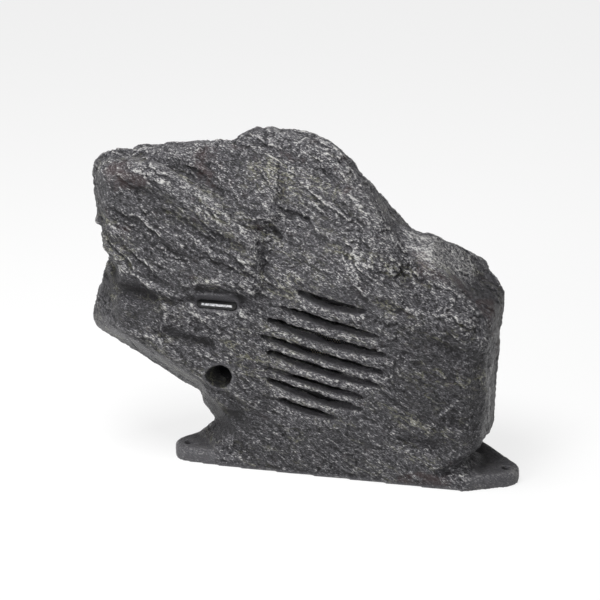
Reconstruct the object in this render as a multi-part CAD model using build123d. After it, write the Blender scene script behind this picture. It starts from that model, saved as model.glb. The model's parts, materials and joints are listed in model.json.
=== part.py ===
from build123d import *
import os
from itertools import combinations
from math import cos, hypot, radians, sin

# A garden speaker cast as a boulder: a hollow resin rock on a flat base with two anchor ears, a louvred
# front with a two-way coaxial driver behind it, a bass port, a crossover on the base cover and a cable gland
# low on the back. Millimetres. +X runs to the right along the base, +Y to the back, +Z up. The origin lies
# midway between the two anchor holes, on the underside.

# The casting
WALL = 9.0
ROUNDING = 15.0          # radius that the worn ridges of the stone come near to
SCARP = 0.12             # height of a scar's scarp line over its middle, as a share of the scar's width
BLOCK = 900.0            # rough block that every lobe is hewn from
FRONT_TURN = -3.0        # the front face is turned a little to the left of the line of the anchor holes

# The lobes of the stone. A lobe is hewn from a block by flat cuts around its core. A cut is (turn, lean,
# reach): turn is the way it faces seen from above (0 front, 90 right, 180 back, -90 left), lean is how far it
# tips upwards, in degrees, and reach is how far it lies from the core.
LOBES = {
    "body": ((5, 35, 100), {
        "front": (FRONT_TURN, 0, 60),
        "front_right": (45, 0, 123),
        "right": (86, -3, 129),
        "rear_right": (118, -2, 127),
        "back_right": (140, 0, 112),
        "back": (180, 4, 62),
        "rear_left": (-135, 0, 117),
        "left": (-88, 10, 137),
        "front_left": (-48, -26, 130),
        "left_underside": (-90, -42, 144),
        "right_underside": (75, -48, 133),
        "back_underside": (180, -38, 89),
        "front_shelf": (0, 55, 93),
        "right_shelf": (80, 60, 124),
        "back_slope": (180, 40, 91),
        "top": (0, 90, 100),
        "bottom": (0, -90, 92),
    }),
    "chin": ((-140, 35, 130), {
        "front": (0, 1, 57),
        "ledge": (-3, 42, 62),
        "front_underside": (-33, -44, 59),
        "cheek": (-50, 8, 90),
        "left_upper": (-82, 18, 103),
        "left_lower": (-85, -20, 103),
        "left_underside": (-95, -62, 72),
        "back_left_underside": (-140, -40, 55),
        "back_underside": (180, -30, 40),
        "back": (180, 10, 48),
        "back_left": (-140, 5, 67),
        "top": (0, 90, 59),
        "right": (90, 0, 100),
        "front_right": (50, -5, 94),
    }),
    "brow": ((-150, 20, 235), {
        "front": (-6, 4, 37),
        "front_left": (-60, 0, 76),
        "left": (-88, -6, 93),
        "left_lower": (-88, -22, 84),
        "left_upper": (-88, 35, 99),
        "left_top": (-85, 68, 77),
        "top": (-60, 82, 58),
        "crest": (95, 58, 33),
        "left_overhang": (-20, -45, 79),
        "overhang": (5, -50, 77),
        "right": (60, 8, 79),
        "back": (180, 0, 34),
        "back_left": (-135, 5, 83),
        "bottom": (0, -90, 75),
    }),
    "nape": ((-140, 50, 245), {
        "gully": (0, 35, 50),
        "front": (0, 0, 56),
        "left": (-88, -6, 92),
        "left_lower": (-88, -26, 94),
        "left_top": (-85, 55, 82),
        "top": (-85, 82, 55),
        "right_top": (-60, 72, 56),
        "back_slope": (180, 50, 38),
        "back": (180, 6, 29),
        "back_left": (-135, 5, 64),
        "back_underside": (180, -30, 52),
        "right": (90, 0, 80),
        "bottom": (0, -90, 60),
    }),
    "crown": ((-40, 50, 230), {
        "face": (FRONT_TURN, 24, 50),
        "front": (FRONT_TURN, 0, 71),
        "right_face": (26, 28, 71),
        "right_slope": (88, 39, 66),
        "right_top": (70, 60, 76),
        "top": (20, 80, 79),
        "left_top": (-80, 72, 93),
        "left_slope": (-70, 35, 97),
        "back_slope": (180, 50, 66),
        "back": (180, 6, 36),
        "back_right": (140, 35, 48),
        "back_left": (-140, 10, 60),
        "right": (90, 0, 121),
        "left": (-90, 10, 103),
        "bottom": (0, -90, 72),
    }),
    "shoulder": ((70, 45, 165), {
        "face": (0, 28, 61),
        "front": (FRONT_TURN, 0, 70),
        "right_face": (40, 45, 59),
        "top": (65, 68, 58),
        "right_slope": (78, 42, 45),
        "right_upper": (84, 10, 65),
        "right": (86, -3, 68),
        "rear_right": (118, 0, 62),
        "back_slope": (180, 50, 43),
        "back": (180, 6, 47),
        "left": (-90, 0, 90),
        "bottom": (0, -90, 30),
    }),
    "skirt": ((0, 30, 30), {
        "front_flare": (FRONT_TURN, 18, 50),
        "front": (FRONT_TURN, 0, 52),
        "front_right": (60, 40, 94),
        "right": (90, 58, 54),
        "back_right": (130, 40, 59),
        "back": (180, 20, 41),
        "back_left": (-130, 40, 73),
        "left": (-90, 58, 69),
        "front_left": (-55, 40, 87),
        "top": (0, 90, 40),
        "bottom": (0, -90, 30),
    }),
}
HOLLOW_LOBES = ("body", "chin", "brow", "nape", "crown", "shoulder")

# Scars where flakes broke off, by the face that each lies on: (across, up, fall to the right, length, width,
# depth). They follow the beds of the stone, which dip to the right. A scar has a scarp along its upper side
# and runs out below, or the other way up where its fall is turned by 180.
SCARS = {
    ("nape", "gully"): ((-6, 5, 22, 96, 28, 4), (9, 20, 59, 44, 22, 4)),
    ("nape", "left"): ((20, 5, 25, 64, 34, 3),),
    ("nape", "back"): ((-5, 12, -20, 74, 34, 3.5), (10, -22, 166, 60, 30, 3)),
    ("brow", "front"): (
        (-34, 28, 20, 54, 26, 3),
        (-3, 6, 15, 68, 34, 3.5),
        (-56, 4, 30, 62, 28, 3.5),
        (44, -10, 21, 80, 32, 3.5),
        (-3, -31, 194, 64, 28, 3),
        (53, -36, 17, 62, 28, 2.5),
    ),
    ("brow", "left"): ((0, 8, 25, 60, 32, 3),),
    ("crown", "face"): (
        (-5, 41, 205, 48, 24, 3),
        (20, 33, 27, 54, 30, 3.5),
        (42, 2, 40, 64, 26, 3.5),
        (-13, -2, 13, 64, 30, 3),
        (-15, -24, 25, 54, 26, 3),
        (3, -49, 185, 64, 26, 2.5),
    ),
    ("crown", "right_face"): ((39, -65, 25, 58, 30, 2.5),),
    ("crown", "back"): ((-45, 18, -22, 70, 34, 3), (25, 22, -20, 80, 38, 3.5), (-10, -12, 162, 76, 32, 3)),
    ("crown", "back_slope"): ((10, -8, -20, 64, 32, 3),),
    ("shoulder", "face"): ((2, 4, 21, 54, 28, 2.5),),
    ("shoulder", "top"): ((-34, 19, 35, 44, 24, 3),),
    ("chin", "front"): ((-4, -3, 12, 64, 24, 3),),
    ("chin", "cheek"): ((0, -8, 30, 46, 26, 2.5),),
    ("chin", "left_upper"): ((-5, 8, 25, 54, 28, 2.5),),
    ("chin", "back"): ((10, 5, -20, 66, 32, 3),),
    ("body", "front"): (
        (55, 74, 5, 75, 26, 5),
        (101, 40, 15, 46, 26, 2.5),
        (110, -35, 190, 40, 24, 4),
        (71, -60, 187, 46, 24, 2.5),
        (-110, -46, 3, 38, 30, 4),
    ),
    ("body", "front_right"): ((-8, 12, 60, 64, 28, 2.5),),
    ("body", "right"): ((-25, 20, 55, 76, 32, 3), (15, -5, 240, 70, 30, 3), (25, 40, 40, 54, 28, 3)),
    ("body", "back_right"): ((0, 20, -35, 60, 30, 3), (10, -25, 150, 54, 28, 2.5)),
    ("body", "back"): (
        (-55, 42, -20, 76, 34, 3.5),
        (30, 48, -18, 90, 38, 3.5),
        (75, 15, -25, 60, 30, 3),
        (-5, 10, 164, 84, 32, 3),
        (-70, 2, -22, 54, 26, 2.5),
        (40, -22, -12, 78, 32, 3),
    ),
    ("body", "rear_left"): ((0, 10, -30, 64, 32, 3),),
}

# The base and its anchor ears
ANCHOR_SPACING = 300.0
ANCHOR_HOLE = 7.5
BASE_HEIGHT = 14.0
BASE_ROUND = 4.0
FOOT_RISE = 35.0         # half the height over which the stone spreads on to the foot
# Rounded corners of the base seen from above: (x, y, radius)
BASE_CORNERS = (
    (145.5, 3, 17),
    (113, -19, 10),
    (-110, -8, 10),
    (-147, 3, 16.5),
    (-92, 60, 18),
    (98, 60, 18),
)

# The louvred front: slanted hand-cut slots, straight along the top and bowed below, with sills that fall
# outwards and shed rain
FIELD_ACROSS = -20.5     # centre of the slots along the front face, from under the body's core
FIELD_UP = 23.0
SLOT_TILT = -12.8
# Each slot along the tilt, from the centre: (left end, right end, top edge, bow below it)
SLOTS = (
    (-37, 31, 53, 10),
    (-50, 50, 34, 8.5),
    (-60, 60, 18.5, 10.5),
    (-65, 64, 1, 8.5),
    (-55, 61, -12.5, 9),
    (-52, 54, -28.5, 7),
    (-46, 50, -40, 10),
    (-30, 28, -56.5, 8),
)
SILL_FALL = 16.0
BAFFLE_DEPTH = 14.0      # flat seat for the driver, behind the front face
BAFFLE_MARGIN = 5.0      # by which the seat is wider than the driver's flange

# The badge in its recess on the ledge
BADGE_ACROSS = 26.3
BADGE_UP = -10.8
BADGE_LENGTH = 38.0
BADGE_HEIGHT = 8.0
BADGE_THICKNESS = 1.6
BADGE_MARGIN = 1.2
BADGE_SINK = 2.2

# The bass port
PORT_ACROSS = 24.2
PORT_UP = -38.9
PORT_TURN = -26.0
PORT_LEAN = -18.0
PORT_BORE = 22.0
PORT_TUBE_WALL = 1.6
PORT_SEAT_DEPTH = 15.0
PORT_TUBE_LENGTH = 58.0
PORT_COLLAR_WALL = 4.0
PORT_COLLAR_DEPTH = 22.0

# General clearances
FIT = 0.25               # between parts that drop into each other
THREAD_FIT = 0.05        # between a screw and its hole

# The driver, front to back. Depths run inwards from the front face of the rock.
SCREEN_THICKNESS = 0.8
SCREEN_HOLE = 7.0
SCREEN_PITCH = 11.0
SCREEN_MARGIN = 1.2      # plain rim of the screen inside the flange's bore
GASKET_THICKNESS = 2.0
FLANGE_RADIUS = 71.0
FLANGE_BREADTH = 12.8
SHEET = 1.6
SCREW_INSET = 4.0        # from the flange's edge to the middle of a screw
SCREW_TURN = 8.0         # turns the screws clear of the ends of the slots
SCREW_COUNT = 4
SCREW_RADIUS = 1.75
SCREW_HEAD_RADIUS = 3.2
SCREW_HEAD_HEIGHT = 2.2
SCREW_BITE = 8.0
SURROUND_SEAT_DROP = 2.2
SURROUND_SEAT_WIDTH = 3.7
ROLL_WIDTH = 8.1
ROLL_DEPTH = 4.0
SKIN = 0.6               # thickness of the surround and the spider
CONE_LIP = 2.9
CONE_SKIN = 0.8
BASKET_DEPTH = 30.4
SPIDER_SEAT_RADIUS = 38.0
SPIDER_SEAT_BORE = 31.0
SPIDER_SEAT_HEIGHT = 5.6
SPIDER_WAVES = 3
SPIDER_WAVE_HEIGHT = 1.2
ARM_WIDTH = 20.0
COIL_RADIUS = 13.0
FORMER_WALL = 0.4
FORMER_LENGTH = 18.0
WINDING_THICKNESS = 0.5
WINDING_LENGTH = 7.4
COIL_GAP = 0.5
TOP_PLATE_THICKNESS = 5.0
TOP_PLATE_RADIUS = 34.0
MAGNET_THICKNESS = 12.0
MAGNET_RADIUS = 38.0
MAGNET_BORE = 18.0
YOKE_THICKNESS = 5.0
YOKE_RADIUS = 36.0
TWEETER_RADIUS = 15.0
TWEETER_DEPTH = 11.0
TWEETER_STANDOFF = 5.2   # from the screen to the tweeter's rim
TWEETER_WALL = 2.0
TWEETER_FLOOR = 3.0
DOME_RADIUS = 9.5
DOME_HEIGHT = 3.0
DOME_SKIN = 0.8
TWEETER_MAGNET_RADIUS = 9.0
TWEETER_MAGNET_THICKNESS = 4.0
POST_RADIUS = 4.0
POST_HEAD_FLATS = 13.0
POST_HEAD_HEIGHT = 3.5

# The base cover
OPENING_LENGTH = 156.0
OPENING_WIDTH = 60.0
OPENING_CORNER = 14.0
OPENING_X = 6.0
OPENING_Y = 27.0
COVER_LEDGE = 10.0
COVER_THICKNESS = 4.0
COVER_STANDOFF = 2.0     # keeps the cover off the ground
COVER_GASKET = 1.5
COVER_SCREW_RADIUS = 2.0
COVER_SCREW_HEAD = 4.0
COVER_SCREW_LENGTH = 11.5
INSERT_RADIUS = 2.8
INSERT_LENGTH = 6.5

# The crossover on the cover
BOARD_LENGTH = 88.0
BOARD_WIDTH = 44.0
BOARD_THICKNESS = 1.6
POST_HEIGHT = 6.0
BOARD_POST_RADIUS = 3.5
BOARD_SCREW_RADIUS = 1.4
BOARD_SCREW_HEAD = 2.8
BOARD_SCREW_HEAD_HEIGHT = 2.0
BOARD_SCREW_LENGTH = 5.0
BOARD_EDGE = 4.5
INDUCTOR_RADIUS = 15.0
INDUCTOR_CORE = 6.0
INDUCTOR_HEIGHT = 15.0
SPOOL_FLANGE = 1.2
SPOOL_STEP = 1.0
CAPACITOR_RADIUS = 6.5
CAPACITOR_LENGTH = 27.0
TERMINAL_LENGTH = 16.0
TERMINAL_WIDTH = 9.0
TERMINAL_HEIGHT = 11.0
TERMINAL_MOUTH = 4.0
LEAD_RADIUS = 0.9
LEAD_SPACING = 8.0
STRIP_LENGTH = 18.0
STRIP_WIDTH = 8.0
STRIP_THICKNESS = 3.0
TAB_LENGTH = 8.0
TAB_WIDTH = 3.0
TAB_THICKNESS = 0.8
STRIP_ANGLE = -60.0

# The wadding and the cable gland on the back wall
PAD_LENGTH = 150.0
PAD_HEIGHT = 90.0
PAD_THICKNESS = 14.0
PAD_UP = 16.0
GLAND_ACROSS = -62.0
GLAND_UP = -40.0
GLAND_FLATS = 19.0
GLAND_FLANGE = 4.0
GLAND_THREAD = 6.0
GLAND_BORE = 4.2
GLAND_NECK = 7.4
GLAND_NECK_LENGTH = 8.0
CABLE_BORE = 3.0
GLAND_SEAL_LENGTH = 7.0
GLAND_CAP_RADIUS = 9.4
GLAND_CAP_LENGTH = 13.0
GLAND_CAP_MOUTH = 3.6
GLAND_NUT = 4.0


def facing(turn, lean):
    """Direction that a face points in."""
    t, l = radians(turn), radians(lean)
    return Vector(sin(t) * cos(l), -cos(t) * cos(l), sin(l))


def face_plane(turn, lean, origin):
    """Plane of a face: x runs level along it, y up it and z out of the stone."""
    return Plane(origin, x_dir=(cos(radians(turn)), sin(radians(turn)), 0), z_dir=facing(turn, lean))


def cut_plane(lobe, cut, across, up):
    """Plane on one cut face of a lobe, moved along the face."""
    core, cuts = LOBES[lobe]
    turn, lean, reach = cuts[cut]
    face = face_plane(turn, lean, Vector(*core) + facing(turn, lean) * reach)
    return face_plane(turn, lean, face.from_local_coords((across, up, 0)))


def worn_ridge(first, second):
    """Plane that rubs off the ridge between two cuts, as a rounding of that radius would."""
    (n1, r1), (n2, r2) = first, second
    half = (n1 + n2).length / 2
    return (n1 + n2).normalized(), ROUNDING + (r1 + r2 - 2 * ROUNDING) / (2 * half)


def hew(lobe, inset=0.0, worn=False):
    """Convex lobe of the stone, with every cut moved in by inset and, on the outside, its ridges worn."""
    core, cuts = LOBES[lobe]
    core = Vector(*core)
    planes = [(facing(turn, lean), reach - inset) for turn, lean, reach in cuts.values()]
    if worn:
        open_faces = [plane for plane in planes if plane[0].Z > -0.99]
        pairs = combinations(open_faces, 2)
        planes += [worn_ridge(a, b) for a, b in pairs if a[0].dot(b[0]) > -0.3]
    stone = Pos(*core) * Box(BLOCK, BLOCK, BLOCK)
    for normal, reach in planes:
        farthest = max((vertex.center() - core).dot(normal) for vertex in stone.vertices())
        if farthest > reach + 0.01:
            stone = split(stone, Plane(core + normal * reach, z_dir=normal), keep=Keep.BOTTOM)
    return stone


def turned(*profile):
    """Ring or disc about the local Z axis from (radius, depth) corners, with depth running to -Z."""
    outline = Polyline(*[(radius, 0, -depth) for radius, depth in profile], close=True)
    return revolve(make_face(outline), Axis.Z)


def ring(outer, inner, near, far):
    """Plain ring between two depths."""
    return turned((inner, near), (outer, near), (outer, far), (inner, far))


def rod(radius, near, far):
    """Plain round rod between two depths."""
    return turned((0, near), (radius, near), (radius, far), (0, far))


def hex_prism(flats, near, far):
    """Hexagonal prism between two depths."""
    return Pos(0, 0, -far) * extrude(RegularPolygon(flats / 2, 6, major_radius=False), far - near)


# Planes and depths that several pieces share
FRONT = cut_plane("body", "front", FIELD_ACROSS, FIELD_UP)
LEDGE = cut_plane("chin", "ledge", BADGE_ACROSS, BADGE_UP)
PORT = face_plane(PORT_TURN, PORT_LEAN, cut_plane("chin", "front", PORT_ACROSS, PORT_UP).origin)
BACK = cut_plane("body", "back", GLAND_ACROSS, GLAND_UP)
COVER = Plane((OPENING_X, OPENING_Y, 0), x_dir=(cos(radians(FRONT_TURN)), sin(radians(FRONT_TURN)), 0))
BAFFLE_RADIUS = FLANGE_RADIUS + BAFFLE_MARGIN
FLANGE_BORE = FLANGE_RADIUS - FLANGE_BREADTH
SCREW_CIRCLE = FLANGE_RADIUS - SCREW_INSET
SCREEN_FIELD = FLANGE_BORE - SCREEN_MARGIN
SURROUND_SEAT_BORE = FLANGE_BORE - SURROUND_SEAT_WIDTH
CONE_RIM = SURROUND_SEAT_BORE - ROLL_WIDTH
SCREEN_BACK = BAFFLE_DEPTH + SCREEN_THICKNESS
FLANGE_FRONT = SCREEN_BACK + GASKET_THICKNESS
FLANGE_BACK = FLANGE_FRONT + SHEET
SURROUND_SEAT = FLANGE_FRONT + SURROUND_SEAT_DROP
BASKET_BACK = FLANGE_FRONT + BASKET_DEPTH
SPIDER_SEAT = BASKET_BACK - SHEET - SPIDER_SEAT_HEIGHT
TOP_PLATE_BACK = BASKET_BACK + TOP_PLATE_THICKNESS
MAGNET_BACK = TOP_PLATE_BACK + MAGNET_THICKNESS
YOKE_BACK = MAGNET_BACK + YOKE_THICKNESS
COVER_TOP = COVER_STANDOFF + COVER_THICKNESS
RECESS_TOP = COVER_TOP + COVER_GASKET
BOARD_UNDER = COVER_TOP + POST_HEIGHT
BOARD_TOP = BOARD_UNDER + BOARD_THICKNESS
PORT_TUBE_RADIUS = PORT_BORE / 2 + PORT_TUBE_WALL
SCREW_TURNS = [SLOT_TILT + SCREW_TURN + place * 360 / SCREW_COUNT for place in range(SCREW_COUNT)]
DRIVER_SCREWS = [Rot(0, 0, turn) * Pos(SCREW_CIRCLE, 0) for turn in SCREW_TURNS]
COVER_LENGTH = OPENING_LENGTH + 2 * COVER_LEDGE
COVER_WIDTH = OPENING_WIDTH + 2 * COVER_LEDGE
SCREW_LINE_X = (OPENING_LENGTH + COVER_LEDGE) / 2
SCREW_LINE_Y = (OPENING_WIDTH + COVER_LEDGE) / 2
COVER_SCREWS = [Pos(x * SCREW_LINE_X, y * SCREW_LINE_Y) for x, y in (
    (-0.75, -1), (0, -1), (0.75, -1), (1, 0), (0.75, 1), (0, 1), (-0.75, 1), (-1, 0))]
BOARD_POSTS = GridLocations(BOARD_LENGTH - 2 * BOARD_EDGE, BOARD_WIDTH - 2 * BOARD_EDGE, 2, 2).locations


def base_outline(inset=0.0):
    """Outline of the foot with its two ears: taut round the corner circles."""
    corners = [(Pos(x, y) * Circle(radius - inset)).edge() for x, y, radius in BASE_CORNERS]
    return make_hull(corners)


def base():
    """Flat foot, and the skirt by which the stone spreads on to it."""
    slab = extrude(base_outline(), BASE_HEIGHT)
    slab = fillet(slab.edges().group_by(Axis.Z)[-1], BASE_ROUND)
    return slab + (hew("skirt", worn=True) & extrude(base_outline(BASE_ROUND), 2 * FOOT_RISE))


def flake_scar(face, fall, length, width, depth):
    """Cutter for one scar: the rim of a large ring, bent to the scar's length along it and its width across,
    and cut off along the scarp."""
    long_bend = length ** 2 / (8 * depth)
    short_bend = width ** 2 / (8 * depth)
    bowl = Pos(0, 0, long_bend - depth) * Rot(90, 0, 0) * Torus(long_bend - short_bend, short_bend)
    below = Pos(0, (SCARP - 0.5) * width / 2) * Box(length, (SCARP + 0.5) * width, 4 * depth)
    return face.location * Rot(0, 0, -fall) * (bowl & below)


def louvre(left, right, top, bow):
    """Cutter for one slot: its outline driven in and upwards along its sill."""
    length = right - left
    belly = Ellipse(length / 2, bow) & Pos(0, -bow / 2) * Rectangle(length, bow)
    outline = FRONT.location * Rot(0, 0, SLOT_TILT) * Pos((left + right) / 2, top) * belly
    drive = FRONT.z_dir * -cos(radians(SILL_FALL)) + Vector(0, 0, sin(radians(SILL_FALL)))
    lead = BAFFLE_DEPTH
    return extrude(Pos(*(drive * -lead)) * outline, lead + 1.5 * BAFFLE_DEPTH, dir=drive)


def rock_shell():
    """The hollow boulder: baffle, louvres, port collar, badge recess, base opening and screw holes."""
    stone = base()
    hollow = Part()
    for lobe in HOLLOW_LOBES:
        stone += hew(lobe, worn=True)
        hollow += hew(lobe, inset=WALL)
    stone -= [
        flake_scar(cut_plane(*face, across, up), *form)
        for face, scars in SCARS.items() for across, up, *form in scars
    ]
    baffle = FRONT.location * rod(BAFFLE_RADIUS, 0, BAFFLE_DEPTH)
    collar = PORT.location * rod(PORT_TUBE_RADIUS + PORT_COLLAR_WALL, -WALL, PORT_COLLAR_DEPTH)
    shell = stone - (hollow - baffle - collar)
    for slot in SLOTS:
        shell -= louvre(*slot)
    shell -= PORT.location * rod(PORT_BORE / 2, -2 * WALL, 2 * PORT_COLLAR_DEPTH)
    shell -= PORT.location * rod(PORT_TUBE_RADIUS + FIT, PORT_SEAT_DEPTH, 2 * PORT_COLLAR_DEPTH)
    recess = SlotOverall(BADGE_LENGTH + 2 * BADGE_MARGIN, BADGE_HEIGHT + 2 * BADGE_MARGIN)
    shell -= LEDGE.location * extrude(recess, BADGE_SINK, both=True)
    shell -= LEDGE.location * Pos(0, 0, BADGE_SINK) * extrude(recess, 4 * BADGE_SINK)
    opening = RectangleRounded(OPENING_LENGTH, OPENING_WIDTH, OPENING_CORNER)
    shell -= COVER.location * extrude(opening, 4 * WALL)
    rebate = RectangleRounded(COVER_LENGTH, COVER_WIDTH, OPENING_CORNER + COVER_LEDGE)
    shell -= COVER.location * extrude(rebate, RECESS_TOP)
    for place in COVER_SCREWS:
        bore = rod(INSERT_RADIUS + THREAD_FIT, -RECESS_TOP - INSERT_LENGTH - 1, -RECESS_TOP)
        shell -= COVER.location * place * bore
    for place in DRIVER_SCREWS:
        pilot = rod(SCREW_RADIUS + THREAD_FIT, BAFFLE_DEPTH - SCREW_BITE - 0.5, BAFFLE_DEPTH)
        shell -= FRONT.location * place * pilot
    for side in (-1, 1):
        shell -= Pos(side * ANCHOR_SPACING / 2, 0) * rod(ANCHOR_HOLE / 2, -2 * BASE_HEIGHT, BASE_HEIGHT)
    shell -= BACK.location * rod(GLAND_THREAD + FIT, -WALL, 3 * WALL)
    return shell


def badge_plate():
    """Plain metal pill bedded in the recess."""
    plate = extrude(SlotOverall(BADGE_LENGTH, BADGE_HEIGHT), BADGE_THICKNESS)
    plate = chamfer(plate.edges().group_by(Axis.Z)[-1], BADGE_THICKNESS / 4)
    return LEDGE.location * Pos(0, 0, -BADGE_SINK) * plate


def grille_screen():
    """Perforated sheet across the back of the louvres."""
    sheet = Circle(FLANGE_RADIUS)
    rows = int(2 * SCREEN_FIELD / (SCREEN_PITCH * cos(radians(30)))) + 1
    columns = int(2 * SCREEN_FIELD / SCREEN_PITCH) + 2
    for row in range(-rows // 2, rows // 2 + 1):
        for column in range(-columns // 2, columns // 2 + 1):
            x = (column + 0.5 * (row % 2)) * SCREEN_PITCH
            y = row * SCREEN_PITCH * cos(radians(30))
            if hypot(x, y) < SCREEN_FIELD - SCREEN_HOLE / 2:
                hole = RegularPolygon(SCREEN_HOLE / 2, 6, major_radius=False)
                sheet -= Pos(x, y) * Rot(0, 0, 30) * hole
    for place in DRIVER_SCREWS:
        sheet -= place * Circle(SCREW_RADIUS + FIT)
    return FRONT.location * Pos(0, 0, -SCREEN_BACK) * extrude(sheet, SCREEN_THICKNESS)


def driver_gasket():
    """Foam ring that seals the driver to the baffle."""
    seal = ring(FLANGE_RADIUS, FLANGE_BORE, SCREEN_BACK, FLANGE_FRONT)
    for place in DRIVER_SCREWS:
        seal -= place * rod(SCREW_RADIUS + FIT, BAFFLE_DEPTH, FLANGE_BACK)
    return FRONT.location * seal


def driver_basket():
    """Pressed steel frame: flange, surround seat, four arms, spider seat and motor seat."""
    wall = FLANGE_BORE + SHEET
    seat_bore = COIL_RADIUS + WINDING_THICKNESS + 2 * COIL_GAP
    frame = turned(
        (FLANGE_RADIUS, FLANGE_FRONT), (FLANGE_BORE, FLANGE_FRONT), (FLANGE_BORE, SURROUND_SEAT),
        (SURROUND_SEAT_BORE, SURROUND_SEAT), (SURROUND_SEAT_BORE, SURROUND_SEAT + SHEET),
        (FLANGE_BORE - SHEET / 2, SURROUND_SEAT + SHEET), (SPIDER_SEAT_RADIUS, SPIDER_SEAT),
        (SPIDER_SEAT_BORE, SPIDER_SEAT), (SPIDER_SEAT_BORE, BASKET_BACK - SHEET),
        (seat_bore, BASKET_BACK - SHEET), (seat_bore, BASKET_BACK), (SPIDER_SEAT_BORE + SHEET, BASKET_BACK),
        (SPIDER_SEAT_BORE + SHEET, SPIDER_SEAT + SHEET),
        (SPIDER_SEAT_RADIUS + SHEET / 2, SPIDER_SEAT + SHEET),
        (wall, SURROUND_SEAT + SHEET), (wall, FLANGE_BACK), (FLANGE_RADIUS, FLANGE_BACK))
    window_near = SURROUND_SEAT + 2 * SHEET
    window_far = SPIDER_SEAT - SHEET
    window = ring(FLANGE_RADIUS, SPIDER_SEAT_BORE, window_near, window_far)
    for turn in (45, 135):
        arm = Box(2 * FLANGE_RADIUS, ARM_WIDTH, window_far - window_near)
        window -= Rot(0, 0, turn) * Pos(0, 0, -(window_near + window_far) / 2) * arm
    frame -= window
    for place in DRIVER_SCREWS:
        frame -= place * rod(SCREW_RADIUS + FIT, FLANGE_FRONT, FLANGE_BACK)
    return FRONT.location * frame


def driver_screws():
    """Pan head screws that clamp the flange, the gasket and the screen to the baffle."""
    screw = turned(
        (0, BAFFLE_DEPTH - SCREW_BITE), (SCREW_RADIUS * 0.6, BAFFLE_DEPTH - SCREW_BITE),
        (SCREW_RADIUS, BAFFLE_DEPTH - SCREW_BITE + SCREW_RADIUS), (SCREW_RADIUS, FLANGE_BACK),
        (SCREW_HEAD_RADIUS, FLANGE_BACK), (SCREW_HEAD_RADIUS * 0.8, FLANGE_BACK + SCREW_HEAD_HEIGHT),
        (0, FLANGE_BACK + SCREW_HEAD_HEIGHT))
    return Compound([FRONT.location * place * screw for place in DRIVER_SCREWS])


def top_plate():
    """Steel ring whose bore is the outer pole of the coil's gap."""
    bore = COIL_RADIUS + WINDING_THICKNESS + COIL_GAP
    return FRONT.location * ring(TOP_PLATE_RADIUS, bore, BASKET_BACK, TOP_PLATE_BACK)


def magnet_ring():
    """Ferrite ring between the top plate and the yoke."""
    return FRONT.location * ring(MAGNET_RADIUS, MAGNET_BORE, TOP_PLATE_BACK, MAGNET_BACK)


def pole_yoke():
    """Back plate and centre pole in one forging, bored for the tweeter's post."""
    pole = COIL_RADIUS - FORMER_WALL - COIL_GAP
    bore = POST_RADIUS + FIT
    return FRONT.location * turned(
        (bore, BASKET_BACK), (pole, BASKET_BACK), (pole, MAGNET_BACK), (YOKE_RADIUS, MAGNET_BACK),
        (YOKE_RADIUS, YOKE_BACK - YOKE_THICKNESS / 3), (YOKE_RADIUS - YOKE_THICKNESS / 2, YOKE_BACK),
        (bore, YOKE_BACK))


def coil_former():
    """Thin tube that carries the winding and drives the cone."""
    middle = (BASKET_BACK + TOP_PLATE_BACK) / 2
    back = middle + WINDING_LENGTH / 2 + FORMER_WALL
    return FRONT.location * ring(COIL_RADIUS, COIL_RADIUS - FORMER_WALL, back - FORMER_LENGTH, back)


def coil_winding():
    """Copper winding, as long as it overhangs the top plate at both sides."""
    middle = (BASKET_BACK + TOP_PLATE_BACK) / 2
    near, far = middle - WINDING_LENGTH / 2, middle + WINDING_LENGTH / 2
    inner = COIL_RADIUS + THREAD_FIT / 2
    return FRONT.location * ring(COIL_RADIUS + WINDING_THICKNESS, inner, near, far)


def cone():
    """Curved cone with a flat lip at its rim and a glue collar on the former."""
    rim = SURROUND_SEAT + 1.6
    neck = COIL_RADIUS + THREAD_FIT / 2
    lip = CONE_RIM - CONE_LIP
    waist_radius = neck + 0.36 * (lip - neck)
    waist = rim + 0.5 * (SPIDER_SEAT - rim)
    foot = SPIDER_SEAT - 2.0
    return FRONT.location * turned(
        (neck, foot), (waist_radius, waist), (lip, rim), (CONE_RIM, rim), (CONE_RIM, rim + CONE_SKIN),
        (lip + CONE_SKIN / 2, rim + CONE_SKIN), (waist_radius + CONE_SKIN / 2, waist + CONE_SKIN),
        (neck + CONE_SKIN, foot + CONE_SKIN), (neck, foot + CONE_SKIN))


def surround():
    """Rubber half roll, turned inwards, from the cone's lip to the basket's seat."""
    rim = SURROUND_SEAT + 1.6
    lip = CONE_RIM - CONE_LIP + SKIN
    outer = SURROUND_SEAT_BORE
    middle = (CONE_RIM + outer) / 2
    deepest = rim + ROLL_DEPTH
    seat = SURROUND_SEAT
    section = make_face([
        Line((lip, 0, -(rim - SKIN)), (lip, 0, -rim)),
        Line((lip, 0, -rim), (CONE_RIM, 0, -rim)),
        ThreePointArc((CONE_RIM, 0, -rim), (middle, 0, -deepest), (outer, 0, -seat)),
        Line((outer, 0, -seat), (FLANGE_BORE - FIT, 0, -seat)),
        Line((FLANGE_BORE - FIT, 0, -seat), (FLANGE_BORE - FIT, 0, -(seat - SKIN))),
        Line((FLANGE_BORE - FIT, 0, -(seat - SKIN)), (outer, 0, -(seat - SKIN))),
        ThreePointArc(
            (outer, 0, -(seat - SKIN)), (middle, 0, -(deepest - SKIN)), (CONE_RIM, 0, -(rim - SKIN))),
        Line((CONE_RIM, 0, -(rim - SKIN)), (lip, 0, -(rim - SKIN))),
    ])
    return FRONT.location * revolve(section, Axis.Z)


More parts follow.
